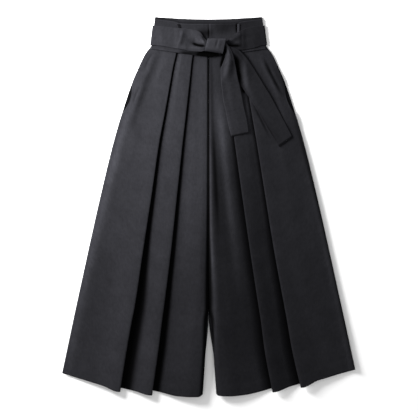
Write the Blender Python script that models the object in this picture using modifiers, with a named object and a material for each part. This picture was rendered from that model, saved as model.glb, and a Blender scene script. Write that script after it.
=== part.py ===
"""Hakama trousers laid flat on a surface, front up, in dark charcoal cloth.

Two pleated front legs lie on two plain back legs. A waistband in two halves carries
a belt, which is tied in a flat knot and ends in two tails. All lengths in the tables
are millimetres; MM turns them to metres where the meshes are made.

A place on the garment is given by three lengths: across (from the centre line, minus
on the left as the front is looked at), drop (down from the corners of the waist) and
height (above the surface that the garment lies on).
"""

import math
from collections import namedtuple

import bpy
import numpy as np

MM = 0.001

# Driving sizes
LENGTH = 1063.0
WALL = 1.1
GAP = 0.4
PITCH = WALL + GAP
SEAM_GAP = 0.3
FOLD_RADIUS = PITCH / 2

# Waist
BAND_DEPTH_SIDE = 89.6
BAND_DEPTH_CENTRE = 112.0
SEAM_CURVE = 1.15
BAND_TOP_HALF = 150.0
BAND_BOTTOM_HALF = 161.0
BAND_LEVEL_FROM = 126.0
BAND_LEVEL_TO = 156.0
FRONT_TUCK = 4.0
BACK_BAND_CLEAR = 1.2
BACK_LEG_TUCK = 3.2
BELT_CLEAR = 0.2

# Pocket mouths
POCKET_FROM = 187.0
POCKET_TO = 274.0
POCKET_GAPE = 8.0
POCKET_LIFT_FROM = 146.0
POCKET_LIFT_FULL = 172.0
POCKET_LIFT_EASE = 290.0
POCKET_LIFT_TO = 318.0
FACING_SHARES = (0.70, 0.85, 1.0)
FACING_END_CLEAR = 8.0
FACING_ROWS = 7

CLOTH_COLOUR = (0.050, 0.050, 0.056, 1.0)
CLOTH_ROUGHNESS = 0.85


def level(layer):
    """Height of the middle of a flat layer of cloth, counted from the surface up."""
    return WALL / 2 + layer * PITCH


# A row for each section of the legs. The folds are given by their distance from the
# centre line; lift is how far a fold's top stands above the pressed stack of layers,
# roll is the radius of the fold, crown is how far the inner panel bulges and pleat is
# the depth of the hidden part.
Leg = namedtuple("Leg", "drop left_side left_outer left_inner left_edge right_edge "
                        "right_inner right_outer right_side lift roll crown pleat")
LEG_ROWS = (
    Leg(84, 161.5, 86.8, 41.5, 0.15, 0.15, 40.6, 89.6, 161.5, 0.0, 0.75, 0.0, 26),
    Leg(96, 172.0, 89.5, 43.3, 0.15, 0.15, 42.0, 91.0, 172.0, 0.0, 0.75, 0.0, 26),
    Leg(110, 181.0, 92.5, 45.2, 0.15, 0.15, 43.4, 93.0, 181.0, 0.0, 0.75, 0.0, 26),
    Leg(140, 195.2, 99.5, 49.0, 0.15, 0.15, 47.0, 98.5, 195.2, 0.0, 0.75, 0.0, 27),
    Leg(187, 215.0, 108.0, 54.0, 0.15, 0.15, 52.2, 107.0, 215.0, 0.1, 0.8, 0.1, 28),
    Leg(260, 239.5, 121.0, 62.0, 0.15, 0.15, 61.5, 119.5, 239.5, 0.3, 0.8, 0.2, 29),
    Leg(350, 266.0, 138.0, 72.5, 0.15, 0.15, 73.5, 135.0, 266.0, 0.7, 0.9, 0.4, 31),
    Leg(500, 302.5, 159.8, 88.5, 0.15, 0.15, 94.5, 159.0, 302.7, 1.6, 1.2, 1.0, 34),
    Leg(650, 336.0, 182.5, 104.5, 0.15, 0.15, 116.0, 183.0, 336.6, 3.2, 1.6, 2.0, 38),
    Leg(815, 371.7, 207.2, 125.0, 0.15, 0.15, 141.0, 213.3, 372.9, 5.2, 2.1, 3.0, 42),
    Leg(848, 378.8, 213.8, 129.5, 5.0, 7.6, 146.3, 219.3, 380.2, 5.6, 2.2, 3.1, 43),
    Leg(930, 396.0, 228.5, 140.0, 8.5, 13.0, 156.8, 233.5, 397.9, 6.0, 2.3, 3.3, 46),
    Leg(1060, 423.0, 249.5, 158.5, 16.5, 22.0, 181.0, 263.5, 425.8, 6.2, 2.4, 3.3, 50),
)

# A row for each line that runs down a front leg, from the centre edge out to the side
# seam. Span names the stretch of cloth, share is the place along it, raise is the share
# of the crown or of the pocket's lift, and the last two say how low the hem is there.
Line = namedtuple("Line", "span share raise_share hem_left hem_right")
LINES = (
    Line("inner", 0.00, 0.0, 1055.0, 1054.0),
    Line("inner", 0.02, 0.0, 1057.5, 1058.5),
    Line("inner", 0.08, 0.7, 1062.4, 1060.5),
    Line("inner", 0.22, 1.0, 1062.6, 1061.0),
    Line("inner", 0.50, 0.6, 1061.0, 1057.5),
    Line("inner", 0.80, 0.15, 1051.7, 1048.0),
    Line("inner", 1.00, 0.0, 1045.8, 1039.4),
    Line("inner_hidden", 1.00, 0.0, 1034.0, 1024.8),
    Line("inner_turn", 0.25, 0.0, 1034.0, 1024.8),
    Line("inner_turn", 0.50, 0.0, 1034.0, 1024.8),
    Line("inner_turn", 0.75, 0.0, 1034.0, 1024.8),
    Line("inner_turn", 1.00, 0.0, 1034.0, 1024.8),
    Line("inner_roll", 0.00, 0.0, 1058.4, 1049.4),
    Line("inner_roll", 0.25, 0.0, 1058.4, 1049.4),
    Line("inner_roll", 0.50, 0.0, 1058.4, 1049.4),
    Line("inner_roll", 0.75, 0.0, 1058.4, 1049.4),
    Line("inner_roll", 1.00, 0.0, 1058.4, 1049.4),
    Line("middle", 0.00, 0.0, 1046.4, 1034.6),
    Line("middle", 1.00, 0.0, 1038.8, 1027.6),
    Line("outer_hidden", 1.00, 0.0, 1027.0, 1013.6),
    Line("outer_turn", 0.25, 0.0, 1027.0, 1013.6),
    Line("outer_turn", 0.50, 0.0, 1027.0, 1013.6),
    Line("outer_turn", 0.75, 0.0, 1027.0, 1013.6),
    Line("outer_turn", 1.00, 0.0, 1027.0, 1013.6),
    Line("outer_roll", 0.00, 0.0, 1048.6, 1036.8),
    Line("outer_roll", 0.25, 0.0, 1048.6, 1036.8),
    Line("outer_roll", 0.50, 0.0, 1048.6, 1036.8),
    Line("outer_roll", 0.75, 0.0, 1048.6, 1036.8),
    Line("outer_roll", 1.00, 0.0, 1048.6, 1036.8),
    Line("outer", 0.00, 0.0, 1031.5, 1017.5),
    Line("outer", 0.25, 0.0, 1023.0, 1010.0),
    Line("outer", 0.47, 0.0, 1015.5, 1003.0),
    Line("outer", 0.65, 1.0, 1009.5, 997.5),
    Line("outer", 0.84, 1.0, 1003.0, 992.0),
    Line("outer", 1.00, 1.0, 997.6, 987.0),
)
PANEL_MARGIN = 2.0

# Drops, along the side seam, of the rows of points that make the front legs
FRONT_ROWS = (84.6, 98, 118, 146, 172, 195, 230, 265, 290, 318, 400, 500, 600, 700,
              800, 835, 900, 997.6)

# A row for each line down a back leg: its share of the leg's width and its two ends.
BackLine = namedtuple("BackLine", "share hem")
BACK_LINES = (
    BackLine(0.0, 1046.0),
    BackLine(0.07, 1054.0),
    BackLine(0.2, 1053.0),
    BackLine(0.38, 1041.0),
    BackLine(0.6, 1027.0),
    BackLine(0.8, 1009.0),
    BackLine(1.0, 985.0),
)
BACK_ROWS = (81, 98, 118, 146, 187, 230, 290, 400, 500, 650, 815, 848, 930, 985)

# Top edges of the two halves of the waistband
BandTop = namedtuple("BandTop", "across front back")
BAND_TOPS = (
    BandTop(0, 19.6, 8.4),
    BandTop(60, 19.2, 8.0),
    BandTop(80, 18.0, 7.6),
    BandTop(92, 12.6, 7.2),
    BandTop(116, 7.4, 6.2),
    BandTop(150, 1.4, 0.3),
)
BAND_COLUMNS = (0.0, 60.0, 80.0, 92.0, 110.0, 126.0, 140.0, 156.0)
BAND_SHARES = (0.0, 0.25, 0.5, 0.75, 1.0)

# Belt, a row for each section from the knot out to the side. Lift is how far it stands
# above the waistband, wave is the depth of the gathers across it.
Belt = namedtuple("Belt", "across upper lower lift wave")
BELT_LEFT = (
    Belt(3.5, 68.5, 91.0, 3.5, 0.8),
    Belt(-6.0, 66.5, 92.5, 3.5, 1.2),
    Belt(-12.5, 60.5, 96.0, 3.0, 2.2),
    Belt(-20.0, 47.5, 98.0, 2.0, 3.2),
    Belt(-30.0, 39.5, 98.0, 1.2, 2.6),
    Belt(-42.0, 36.5, 97.5, 0.6, 1.6),
    Belt(-56.0, 34.5, 96.0, 0.2, 0.7),
    Belt(-67.0, 33.0, 93.0, 0.0, 0.2),
    Belt(-84.0, 32.0, 90.0, 0.0, 0.0),
    Belt(-98.0, 30.5, 87.5, 0.0, 0.0),
    Belt(-112.0, 29.0, 85.0, 0.0, 0.0),
    Belt(-126.0, 27.0, 82.5, 0.0, 0.0),
    Belt(-140.0, 25.5, 80.5, 0.0, 0.0),
    Belt(-149.0, 24.8, 79.4, 0.0, 0.0),
)
BELT_RIGHT = (
    Belt(34.5, 72.0, 90.0, 3.2, 0.0),
    Belt(42.0, 71.5, 91.0, 3.2, 0.0),
    Belt(50.5, 69.0, 92.0, 2.5, 0.4),
    Belt(59.0, 60.5, 93.0, 1.6, 1.6),
    Belt(68.0, 54.5, 93.5, 0.9, 1.8),
    Belt(80.0, 45.0, 93.5, 0.5, 1.6),
    Belt(94.0, 37.0, 93.0, 0.2, 0.9),
    Belt(108.0, 31.5, 91.5, 0.1, 0.3),
    Belt(126.0, 27.6, 88.0, 0.0, 0.0),
    Belt(140.0, 25.8, 83.3, 0.0, 0.0),
    Belt(149.0, 24.8, 80.0, 0.0, 0.0),
)
BELT_SHARES = (0.0, 0.09, 0.18, 0.28, 0.38, 0.5, 0.62, 0.72, 0.82, 0.91, 1.0)
BELT_WAVES = 2
BELT_EDGE_CLEAR = 0.6
BELT_WRAP = 3.0
BELT_WRAP_TURNS = (90, 54, 18, -18, -54, -90)
BELT_UNDERLAP = 8.0
BELT_BACK_COLUMNS = (-1.0, -0.5, 0.0, 0.5, 1.0)
BELT_BACK_SHARES = (0.0, 0.5, 1.0)
BELT_SIDE_UPPER = 24.6
BELT_SIDE_LOWER = 79.2

# Loops, a row for each section down from the top edge of the waistband
Loop = namedtuple("Loop", "drop left right")
LOOP_ROWS = (
    Loop(20.0, -85.0, 83.4),
    Loop(31.0, -81.5, 83.4),
    Loop(42.0, -78.0, 83.4),
    Loop(52.0, -75.5, 83.4),
    Loop(64.0, -75.0, 83.4),
)
LOOP_WIDTH = 6.0
LOOP_RIDGE_FLAT = 10.0
LOOP_RIDGE_FOOT = 20.0

# Knot, a flat wrap: a row for each of its two ends
KnotEnd = namedtuple("KnotEnd", "across_top across_bottom drop half_width")
KNOT_LEFT = KnotEnd(-2.5, -10.6, 79.5, 17.4)
KNOT_RIGHT = KnotEnd(48.7, 39.9, 83.6, 21.1)
KNOT_UNDERSIDE = 8.05
KNOT_TOP = 17.4
KNOT_CROWN = 1.2
KNOT_ROUNDNESS = 0.6
KNOT_COLUMNS = 5
KNOT_SIDES = 20

# Tails, a row for each section from the knot to the cut end: the two edges and the
# least height there
Tail = namedtuple("Tail", "left_across left_drop right_across right_drop height ridge")
TAIL_FRONT = (
    Tail(35.5, 78.0, 44.5, 70.5, 14.5, 0.0),
    Tail(43.5, 88.0, 53.5, 80.5, 14.6, 0.2),
    Tail(48.0, 104.0, 63.5, 98.5, 14.6, 1.2),
    Tail(41.5, 126.0, 70.5, 118.0, 13.4, 2.6),
    Tail(36.0, 149.0, 77.5, 141.0, 11.4, 2.2),
    Tail(35.0, 175.0, 85.0, 168.0, 9.9, 1.2),
    Tail(38.0, 205.0, 89.0, 196.0, 8.6, 0.5),
    Tail(41.0, 235.0, 94.5, 227.0, 8.2, 0.2),
    Tail(47.5, 262.0, 99.5, 254.0, 8.2, 0.0),
    Tail(54.0, 297.0, 107.5, 287.0, 8.2, 0.0),
    Tail(63.5, 335.2, 112.8, 324.5, 8.6, 0.0),
)
TAIL_SIDE = (
    Tail(38.5, 83.5, 42.0, 72.0, 12.4, 0.0),
    Tail(48.0, 94.0, 53.5, 82.0, 12.4, 0.2),
    Tail(58.0, 105.0, 80.0, 91.0, 12.0, 0.8),
    Tail(66.0, 126.0, 101.0, 110.0, 10.2, 2.6),
    Tail(75.0, 154.0, 120.0, 135.0, 8.4, 2.6),
    Tail(86.0, 183.0, 137.5, 162.0, 7.7, 1.6),
    Tail(101.0, 208.0, 154.8, 190.7, 7.4, 0.8),
    Tail(120.4, 235.8, 172.0, 218.4, 7.4, 0.3),
    Tail(143.9, 274.4, 193.2, 257.0, 7.4, 0.1),
    Tail(165.5, 312.8, 214.8, 297.6, 7.6, 0.0),
    Tail(197.7, 364.0, 234.9, 336.3, 8.0, 0.0),
)
TAIL_SHARES = (0.0, 0.17, 0.34, 0.5, 0.66, 0.83, 1.0)
BRIDGE_REACH = 12.0
BRIDGE_SAMPLES = 5


def ease(start, end, at):
    """Run softly from 0 at start to 1 at end."""
    share = np.clip((at - start) / (end - start), 0.0, 1.0)
    return share * share * (3.0 - 2.0 * share)


def between(start, end, share):
    """Place at a share of the way from start to end."""
    return start + (end - start) * share


def read_table(rows, key, name, at):
    """Read a column of a table on a smooth curve that never overshoots its rows."""
    places = np.array([getattr(row, key) for row in rows], dtype=float)
    values = np.array([getattr(row, name) for row in rows], dtype=float)
    widths = np.diff(places)
    rises = np.diff(values) / widths
    slopes = np.concatenate((rises[:1], rises))
    before, after = rises[:-1], rises[1:]
    same_way = before * after > 0
    both = np.where(same_way, before + after, 1.0)
    slopes[1:-1] = np.where(same_way, 2 * before * after / both, 0.0)
    at = np.asarray(at, dtype=float)
    first = np.clip(np.searchsorted(places, at) - 1, 0, len(places) - 2)
    width = widths[first]
    share = np.clip((at - places[first]) / width, 0.0, 1.0)
    square = share * share
    cube = square * share
    return ((2 * cube - 3 * square + 1) * values[first]
            + (cube - 2 * square + share) * width * slopes[first]
            + (3 * square - 2 * cube) * values[first + 1]
            + (cube - square) * width * slopes[first + 1])


def seam_drop(across):
    """Drop of the waist seam, lowest at the centre."""
    share = np.clip(np.abs(across) / BAND_BOTTOM_HALF, 0.0, 1.0)
    return between(BAND_DEPTH_CENTRE, BAND_DEPTH_SIDE, share ** SEAM_CURVE)


def pocket_lift(drop):
    """Share of the height that the pocket facing takes up under the outer panel."""
    return (ease(POCKET_LIFT_FROM, POCKET_LIFT_FULL, drop)
            * (1.0 - ease(POCKET_LIFT_EASE, POCKET_LIFT_TO, drop)))


def pocket_gape(drop):
    """How far the pocket mouth is pulled in from the side seam."""
    share = np.clip((drop - POCKET_FROM) / (POCKET_TO - POCKET_FROM), 0.0, 1.0)
    return POCKET_GAPE * np.sin(math.pi * share) ** 2


def leg_line(leg, line, drop):
    """Distance from the centre line and height of one line of a front leg."""
    def row(name):
        return read_table(LEG_ROWS, "drop", name, drop)
    edge = row(leg + "_edge")
    inner = row(leg + "_inner")
    outer = row(leg + "_outer")
    side = row(leg + "_side")
    roll = row("roll")
    pleat = row("pleat")
    base = level(1)
    fold_top = level(3) + row("lift")
    span, _, step = line.span.partition("_")
    fold = inner if span in ("inner", "middle") else outer
    if step == "hidden":
        return fold + pleat - FOLD_RADIUS, np.full_like(fold, base)
    if step == "turn":
        turn = math.pi * (line.share - 0.5)
        across = fold + pleat - FOLD_RADIUS + FOLD_RADIUS * math.cos(turn)
        return across, np.full_like(fold, base + FOLD_RADIUS + FOLD_RADIUS * math.sin(turn))
    if step == "roll":
        turn = math.pi * (1.5 - line.share)
        return fold + roll + roll * math.cos(turn), fold_top - roll + roll * math.sin(turn)
    if span == "inner":
        across = between(edge, inner, line.share)
        return across, base + row("crown") * line.raise_share
    if span == "middle":
        start = inner + pleat + PANEL_MARGIN
        end = outer - PANEL_MARGIN
        height = between(level(3), base, line.share)
        return between(start, end, line.share), np.full_like(start, height)
    start = outer + pleat + PANEL_MARGIN
    lift = PITCH * pocket_lift(drop) * line.raise_share
    across = between(start, side, line.share)
    if line.share == 1.0:
        across = across - pocket_gape(drop)
    return across, between(level(3), base, line.share) + lift


def front_leg_points(leg):
    """Grid of points of a front leg, a list for each line from the centre out."""
    first, last = FRONT_ROWS[0], FRONT_ROWS[-1]
    shares = (np.array(FRONT_ROWS) - first) / (last - first)
    sign = -1.0 if leg == "left" else 1.0
    grid = []
    for line in LINES:
        across_top, _ = leg_line(leg, line, np.array([first]))
        top = seam_drop(across_top[0]) - FRONT_TUCK
        hem = getattr(line, "hem_" + leg)
        drops = between(top, hem, shares)
        across, height = leg_line(leg, line, drops)
        grid.append([(sign * a, d, h) for a, d, h in zip(across, drops, height)])
    return grid


def front_height(across, drop):
    """Height of the topmost layer of the front legs at one place."""
    leg = "left" if across < 0 else "right"
    drops = np.array([float(drop)])
    path = []
    for line in LINES:
        out, high = leg_line(leg, line, drops)
        path.append((out[0], high[0]))
    place = abs(across)
    found = [level(1)]
    for (out_a, high_a), (out_b, high_b) in zip(path, path[1:]):
        if min(out_a, out_b) <= place <= max(out_a, out_b) and out_a != out_b:
            share = (place - out_a) / (out_b - out_a)
            found.append(between(high_a, high_b, share))
    return max(found)


def bridged_height(across, drop):
    """Height of a stiff strip that bridges the folds of the front legs near a place."""
    steps = np.linspace(-BRIDGE_REACH, BRIDGE_REACH, BRIDGE_SAMPLES)
    return max(front_height(across + step, drop) for step in steps) + PITCH


def back_leg_points(sign):
    """Grid of points of a back leg, flat on the surface."""
    leg = "left" if sign < 0 else "right"
    first, last = BACK_ROWS[0], BACK_ROWS[-1]
    shares = (np.array(BACK_ROWS) - first) / (last - first)
    grid = []
    for line in BACK_LINES:
        reach = line.share * BAND_BOTTOM_HALF
        top = seam_drop(reach) - FRONT_TUCK - BACK_BAND_CLEAR - BACK_LEG_TUCK
        drops = between(top, line.hem, shares)
        side = read_table(LEG_ROWS, "drop", leg + "_side", drops)
        edge = read_table(LEG_ROWS, "drop", leg + "_edge", drops)
        across = between(edge, side, line.share)
        grid.append([(sign * a, d, level(0)) for a, d in zip(across, drops)])
    return grid


def band_half(drop):
    """Half width of the waistband at a drop."""
    share = drop / BAND_DEPTH_SIDE
    return between(BAND_TOP_HALF, BAND_BOTTOM_HALF, share)


def band_top(across, half):
    """Drop of the top edge of one half of the waistband."""
    return read_table(BAND_TOPS, "across", half, np.abs(across))


def band_height(across, drop):
    """Height of the front half of the waistband, which rises over the pleats."""
    top = band_top(across, "front")
    down = np.clip((drop - top) / (seam_drop(across) - top), 0.0, 1.0)
    reach = (np.abs(across) - BAND_LEVEL_FROM) / (BAND_LEVEL_TO - BAND_LEVEL_FROM)
    rise = (level(4) - level(2)) * (1.0 - np.clip(reach, 0.0, 1.0))
    return level(2) + rise * down


def band_points(half):
    """Grid of points of one half of the waistband."""
    columns = [-place for place in reversed(BAND_COLUMNS)] + list(BAND_COLUMNS[1:])
    grid = []
    for column in columns:
        line = []
        at_side = abs(column) == BAND_COLUMNS[-1]
        for share in BAND_SHARES:
            across = column
            top = band_top(across, half)
            bottom = seam_drop(across)
            if half == "back":
                bottom = bottom - FRONT_TUCK - BACK_BAND_CLEAR
            drop = between(top, bottom, share)
            if at_side:
                across = math.copysign(band_half(drop), column)
            height = band_height(across, drop) if half == "front" else level(1)
            line.append((across, float(drop), float(height)))
        grid.append(line)
    return grid


def loop_place(drop, side):
    """Across place of the middle of a belt loop at a drop."""
    return float(read_table(LOOP_ROWS, "drop", side, drop))


def belt_height(across, drop):
    """Height of the belt where it lies on the waistband and over a loop."""
    side = "left" if across < 0 else "right"
    away = abs(across - loop_place(drop, side))
    ridge = PITCH * (1.0 - ease(LOOP_RIDGE_FLAT, LOOP_RIDGE_FOOT, away))
    return float(band_height(across, drop)) + PITCH + BELT_CLEAR + ridge


def belt_side_drop(share):
    """Drop of a place across the belt's width, at the side and behind."""
    return between(BELT_SIDE_UPPER, BELT_SIDE_LOWER, share)


def belt_points(side):
    """Grid of points of a front stretch of the belt, from the knot round the side."""
    rows = BELT_LEFT if side == "left" else BELT_RIGHT
    sign = -1.0 if side == "left" else 1.0
    grid = []
    for row in rows:
        line = []
        for share in BELT_SHARES:
            drop = between(row.upper, row.lower, share)
            gather = 0.5 - 0.5 * math.cos(2 * math.pi * BELT_WAVES * share)
            height = belt_height(row.across, drop) + row.lift + row.wave * gather
            line.append((row.across, drop, height))
        grid.append(line)
    for turn in BELT_WRAP_TURNS:
        line = []
        for share in BELT_SHARES:
            drop = belt_side_drop(share)
            edge = band_half(drop)
            top = belt_height(sign * edge, drop)
            middle = (top + level(0)) / 2
            out = edge + BELT_EDGE_CLEAR + BELT_WRAP * math.cos(math.radians(turn))
            height = middle + (top - middle) * math.sin(math.radians(turn))
            line.append((sign * out, drop, height))
        grid.append(line)
    line = []
    for share in BELT_SHARES:
        drop = belt_side_drop(share)
        line.append((sign * (band_half(drop) - BELT_UNDERLAP), drop, level(0)))
    grid.append(line)
    return grid


def belt_back_points():
    """Grid of points of the hidden back stretch of the belt."""
    grid = []
    for place in BELT_BACK_COLUMNS:
        line = []
        for share in BELT_BACK_SHARES:
            drop = belt_side_drop(share)
            reach = band_half(drop) - BELT_UNDERLAP - SEAM_GAP
            line.append((place * reach, drop, level(0)))
        grid.append(line)
    return grid


def loop_points(side):
    """Grid of points of a belt loop, which runs down behind the belt."""
    grid = []
    for offset in (-LOOP_WIDTH / 2, LOOP_WIDTH / 2):
        line = []
        for row in LOOP_ROWS:
            across = getattr(row, side) + offset
            height = float(band_height(across, row.drop)) + PITCH
            line.append((across, row.drop, height))
        grid.append(line)
    return grid


def knot_points():
    """Grid of points of the wrap: rings around the crossing, from end to end."""
    grid = []
    middle = (KNOT_UNDERSIDE + KNOT_TOP) / 2
    half_height = (KNOT_TOP - KNOT_UNDERSIDE) / 2
    for along in np.linspace(0.0, 1.0, KNOT_COLUMNS):
        half = between(KNOT_LEFT.half_width, KNOT_RIGHT.half_width, along) - WALL / 2
        centre = between(KNOT_LEFT.drop, KNOT_RIGHT.drop, along)
        ring = []
        for step in range(KNOT_SIDES):
            turn = 2 * math.pi * step / KNOT_SIDES
            down = math.copysign(abs(math.cos(turn)) ** KNOT_ROUNDNESS, -math.cos(turn))
            up = math.copysign(abs(math.sin(turn)) ** KNOT_ROUNDNESS, math.sin(turn))
            lower = (1.0 + down) / 2
            start = between(KNOT_LEFT.across_top, KNOT_LEFT.across_bottom, lower)
            end = between(KNOT_RIGHT.across_top, KNOT_RIGHT.across_bottom, lower)
            crown = KNOT_CROWN * math.sin(math.pi * along) * max(up, 0.0)
            height = middle + half_height * up + crown
            ring.append((between(start, end, along), centre + half * down, height))
        grid.append(ring)
    return grid


def tail_points(rows):
    """Grid of points of a tail of the belt, which bridges what it lies on."""
    grid = []
    for row in rows:
        line = []
        for share in TAIL_SHARES:
            across = between(row.left_across, row.right_across, share)
            drop = between(row.left_drop, row.right_drop, share)
            ridge = row.ridge * math.sin(math.pi * share) ** 2
            height = max(bridged_height(across, drop), row.height) + ridge
            line.append((across, drop, height))
        grid.append(line)
    return grid


def facing_points(leg):
    """Grid of points of a pocket facing, one layer under the outer panel."""
    sign = -1.0 if leg == "left" else 1.0
    outer = [line for line in LINES if line.span == "outer"]
    grid = []
    first = POCKET_LIFT_FULL + FACING_END_CLEAR
    last = POCKET_LIFT_EASE - FACING_END_CLEAR
    for share in FACING_SHARES:
        line = []
        for drop in np.linspace(first, last, FACING_ROWS):
            drops = np.array([drop])
            start, _ = leg_line(leg, outer[0], drops)
            side = float(read_table(LEG_ROWS, "drop", leg + "_side", drop))
            line.append((sign * between(start[0], side, share), drop, level(1)))
        grid.append(line)
    return grid


def cloth_material(name):
    """Plain charcoal cloth."""
    material = bpy.data.materials.new(name)
    material.use_nodes = True
    shader = material.node_tree.nodes["Principled BSDF"]
    shader.inputs["Base Color"].default_value = CLOTH_COLOUR
    shader.inputs["Roughness"].default_value = CLOTH_ROUGHNESS
    shader.inputs["Metallic"].default_value = 0.0
    return material


def cloth_piece(name, grid, collection, ring=False):
    """Make one piece: an open surface through a grid of points, given its thickness."""
    down = len(grid[0])
    points = []
    for line in grid:
        for across, drop, height in line:
            points.append((across * MM, (LENGTH / 2 - drop) * MM, height * MM))
    faces = []
    for i in range(len(grid) - 1):
        for j in range(down if ring else down - 1):
            k = (j + 1) % down
            faces.append((i * down + j, i * down + k, (i + 1) * down + k, (i + 1) * down + j))
    mesh = bpy.data.meshes.new(name)
    mesh.from_pydata(points, [], faces)
    mesh.validate()
    mesh.shade_smooth()
    piece = bpy.data.objects.new(name, mesh)
    collection.objects.link(piece)
    mesh.materials.append(cloth_material(name + " cloth"))
    wall = piece.modifiers.new("Wall", "SOLIDIFY")
    wall.thickness = WALL * MM
    wall.offset = 0.0
    wall.use_even_offset = True
    return piece


def main():
    for item in list(bpy.data.objects):
        bpy.data.objects.remove(item, do_unlink=True)
    collection = bpy.data.collections.new("Hakama trousers")
    bpy.context.scene.collection.children.link(collection)
    for leg, sign in (("left", -1.0), ("right", 1.0)):
        cloth_piece("front_leg_" + leg, front_leg_points(leg), collection)
        cloth_piece("back_leg_" + leg, back_leg_points(sign), collection)
        cloth_piece("pocket_facing_" + leg, facing_points(leg), collection)
        cloth_piece("belt_run_" + leg, belt_points(leg), collection)
        cloth_piece("belt_loop_" + leg, loop_points(leg), collection)
    cloth_piece("waistband_front", band_points("front"), collection)
    cloth_piece("waistband_back", band_points("back"), collection)
    cloth_piece("belt_run_back", belt_back_points(), collection)
    cloth_piece("belt_knot", knot_points(), collection, ring=True)
    cloth_piece("belt_tail_front", tail_points(TAIL_FRONT), collection)
    cloth_piece("belt_tail_side", tail_points(TAIL_SIDE), collection)


main()
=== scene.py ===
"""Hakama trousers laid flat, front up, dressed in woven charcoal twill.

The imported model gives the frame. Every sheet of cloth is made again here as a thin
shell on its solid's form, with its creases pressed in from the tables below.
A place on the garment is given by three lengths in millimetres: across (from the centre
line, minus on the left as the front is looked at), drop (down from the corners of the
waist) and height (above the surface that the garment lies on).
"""

import math
from collections import namedtuple

import bpy
import numpy as np
from bpy.props import FloatProperty, FloatVectorProperty, PointerProperty
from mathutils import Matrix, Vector, noise


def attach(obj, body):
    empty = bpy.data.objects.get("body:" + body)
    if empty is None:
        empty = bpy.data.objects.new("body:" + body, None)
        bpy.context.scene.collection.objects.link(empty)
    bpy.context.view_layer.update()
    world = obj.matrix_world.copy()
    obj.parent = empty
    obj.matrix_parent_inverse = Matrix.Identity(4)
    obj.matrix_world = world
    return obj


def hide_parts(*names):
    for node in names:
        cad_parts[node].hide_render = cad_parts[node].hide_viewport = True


bl_info = {
    "name": "Hakama trousers",
    "version": (1, 0, 0),
    "blender": (4, 5, 0),
    "location": "3D View > Sidebar > Hakama",
    "description": "Makes wide pleated trousers with a tied sash belt, laid flat",
    "category": "Object",
}

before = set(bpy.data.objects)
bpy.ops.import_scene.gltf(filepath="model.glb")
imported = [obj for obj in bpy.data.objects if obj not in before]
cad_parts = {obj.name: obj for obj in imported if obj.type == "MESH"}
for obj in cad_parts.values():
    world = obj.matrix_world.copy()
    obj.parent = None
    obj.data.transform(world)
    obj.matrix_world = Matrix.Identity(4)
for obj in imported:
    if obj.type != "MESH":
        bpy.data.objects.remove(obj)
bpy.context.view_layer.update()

MM = 0.001
# Keeps a division by a length of nothing from failing, in millimetres
TINY = 1e-6

# Driving sizes
LENGTH = 1063.0
WALL = 1.1
GAP = 0.4
PITCH = WALL + GAP
SEAM_GAP = 0.3
FOLD_RADIUS = PITCH / 2

# Which way a side lies from the centre line
SIGNS = {"left": -1.0, "right": 1.0}

# Waist
BAND_DEPTH_SIDE = 89.6
BAND_DEPTH_CENTRE = 112.0
SEAM_CURVE = 1.15
BAND_TOP_HALF = 150.0
BAND_BOTTOM_HALF = 161.0
BAND_LEVEL_FROM = 126.0
BAND_LEVEL_TO = 156.0
BAND_SIDE = 156.0
BAND_STRAIGHT = 140.0
FRONT_TUCK = 4.0
BACK_BAND_CLEAR = 1.2
BACK_LEG_TUCK = 3.2
BELT_CLEAR = 0.2
SEAM_ROLL = 0.4
SEAM_ROLL_REACH = 1.0, 4.0
BAND_LIP = 0.7
BAND_LIP_REACH = 1.0, 6.0
BAND_LIP_HIGHLIGHT = 0.15
BAND_MOUTH_SHADE = 0.45
BAND_MOUTH_REACH = -9.0, -1.0

# Pocket mouths
POCKET_FROM = 187.0
POCKET_TO = 274.0
POCKET_GAPE = 11.0
POCKET_LIFT_FROM = 146.0
POCKET_LIFT_FULL = 172.0
POCKET_LIFT_EASE = 290.0
POCKET_LIFT_TO = 318.0
FACING_FROM = 0.70
FACING_END_CLEAR = 8.0

# Legs: where the fronts start below the waistband, and where the backs part
FRONT_TOP = 84.6
GAP_FROM = 825.0
GAP_OPEN = 960.0

# Fineness of the sheets: a count of points one way, then the other, or of the steps that
# each gap of a coarse grid is cut into
LEG_ROW_COUNT = 300
PANEL_STEPS = {"inner": 32, "middle": 24, "outer": 36}
SLOPE_STEPS = 10
TURN_STEPS = 2
HIDDEN_STEPS = 3
BACK_LEG_ROW_COUNT = 90
BACK_LEG_STEPS = 6
BAND_POINTS = 161, 41
BELT_STEPS = 5, 4
BELT_BACK_POINTS = 61, 13
LOOP_STEPS = 5, 5
KNOT_POINTS = 45, 96
TAIL_STEPS = 8, 5
FACING_POINTS = 13, 41

# Relief of the cloth: how uneven it lies, over what size and how far that is drawn out
# down the leg, the doubled hem, and how the fullness fades across the panels
UNEVEN = 0.35
UNEVEN_SIZE = 46.0
UNEVEN_STRETCH = 1.6
UNEVEN_SEEDS = {"left": 3.0, "right": 7.0}
HEM_DEPTH = 30.0
HEM_STEP = 2.0
HEM_THICK = 0.25
SWELL_LEAN = 0.6
INSEAM_FALL = 3
SIDE_SWELL_FROM = 0.8
FOLD_CALM = 6.0
BACK_SWELL = 0.6
BACK_SWELL_REACH = 14.0
CREASE_START = -0.2, 0.3
CREASE_END = 0.65, 1.2

# Shade of the cloth: how it fades into a pleat and off the centre, in shares of its reach
PLEAT_SHADE = 0.5, 1.0
PLEAT_SHADE_POWER = 1.5
CENTRE_SHADE = 0.6, 1.6
SIDE_TONE_FROM = 0.4

# Stage: places in metres
KEY_PLACE = (-1.3, 0.8, 0.45)
KEY_TARGET = (0.0, -0.05, 0.0)
CAMERA_ACROSS = 0.0011
CAMERA_UP = -0.0063

# A wave texture of scale 1 has one band in this length
WAVE_PERIOD = math.pi / 10

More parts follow.
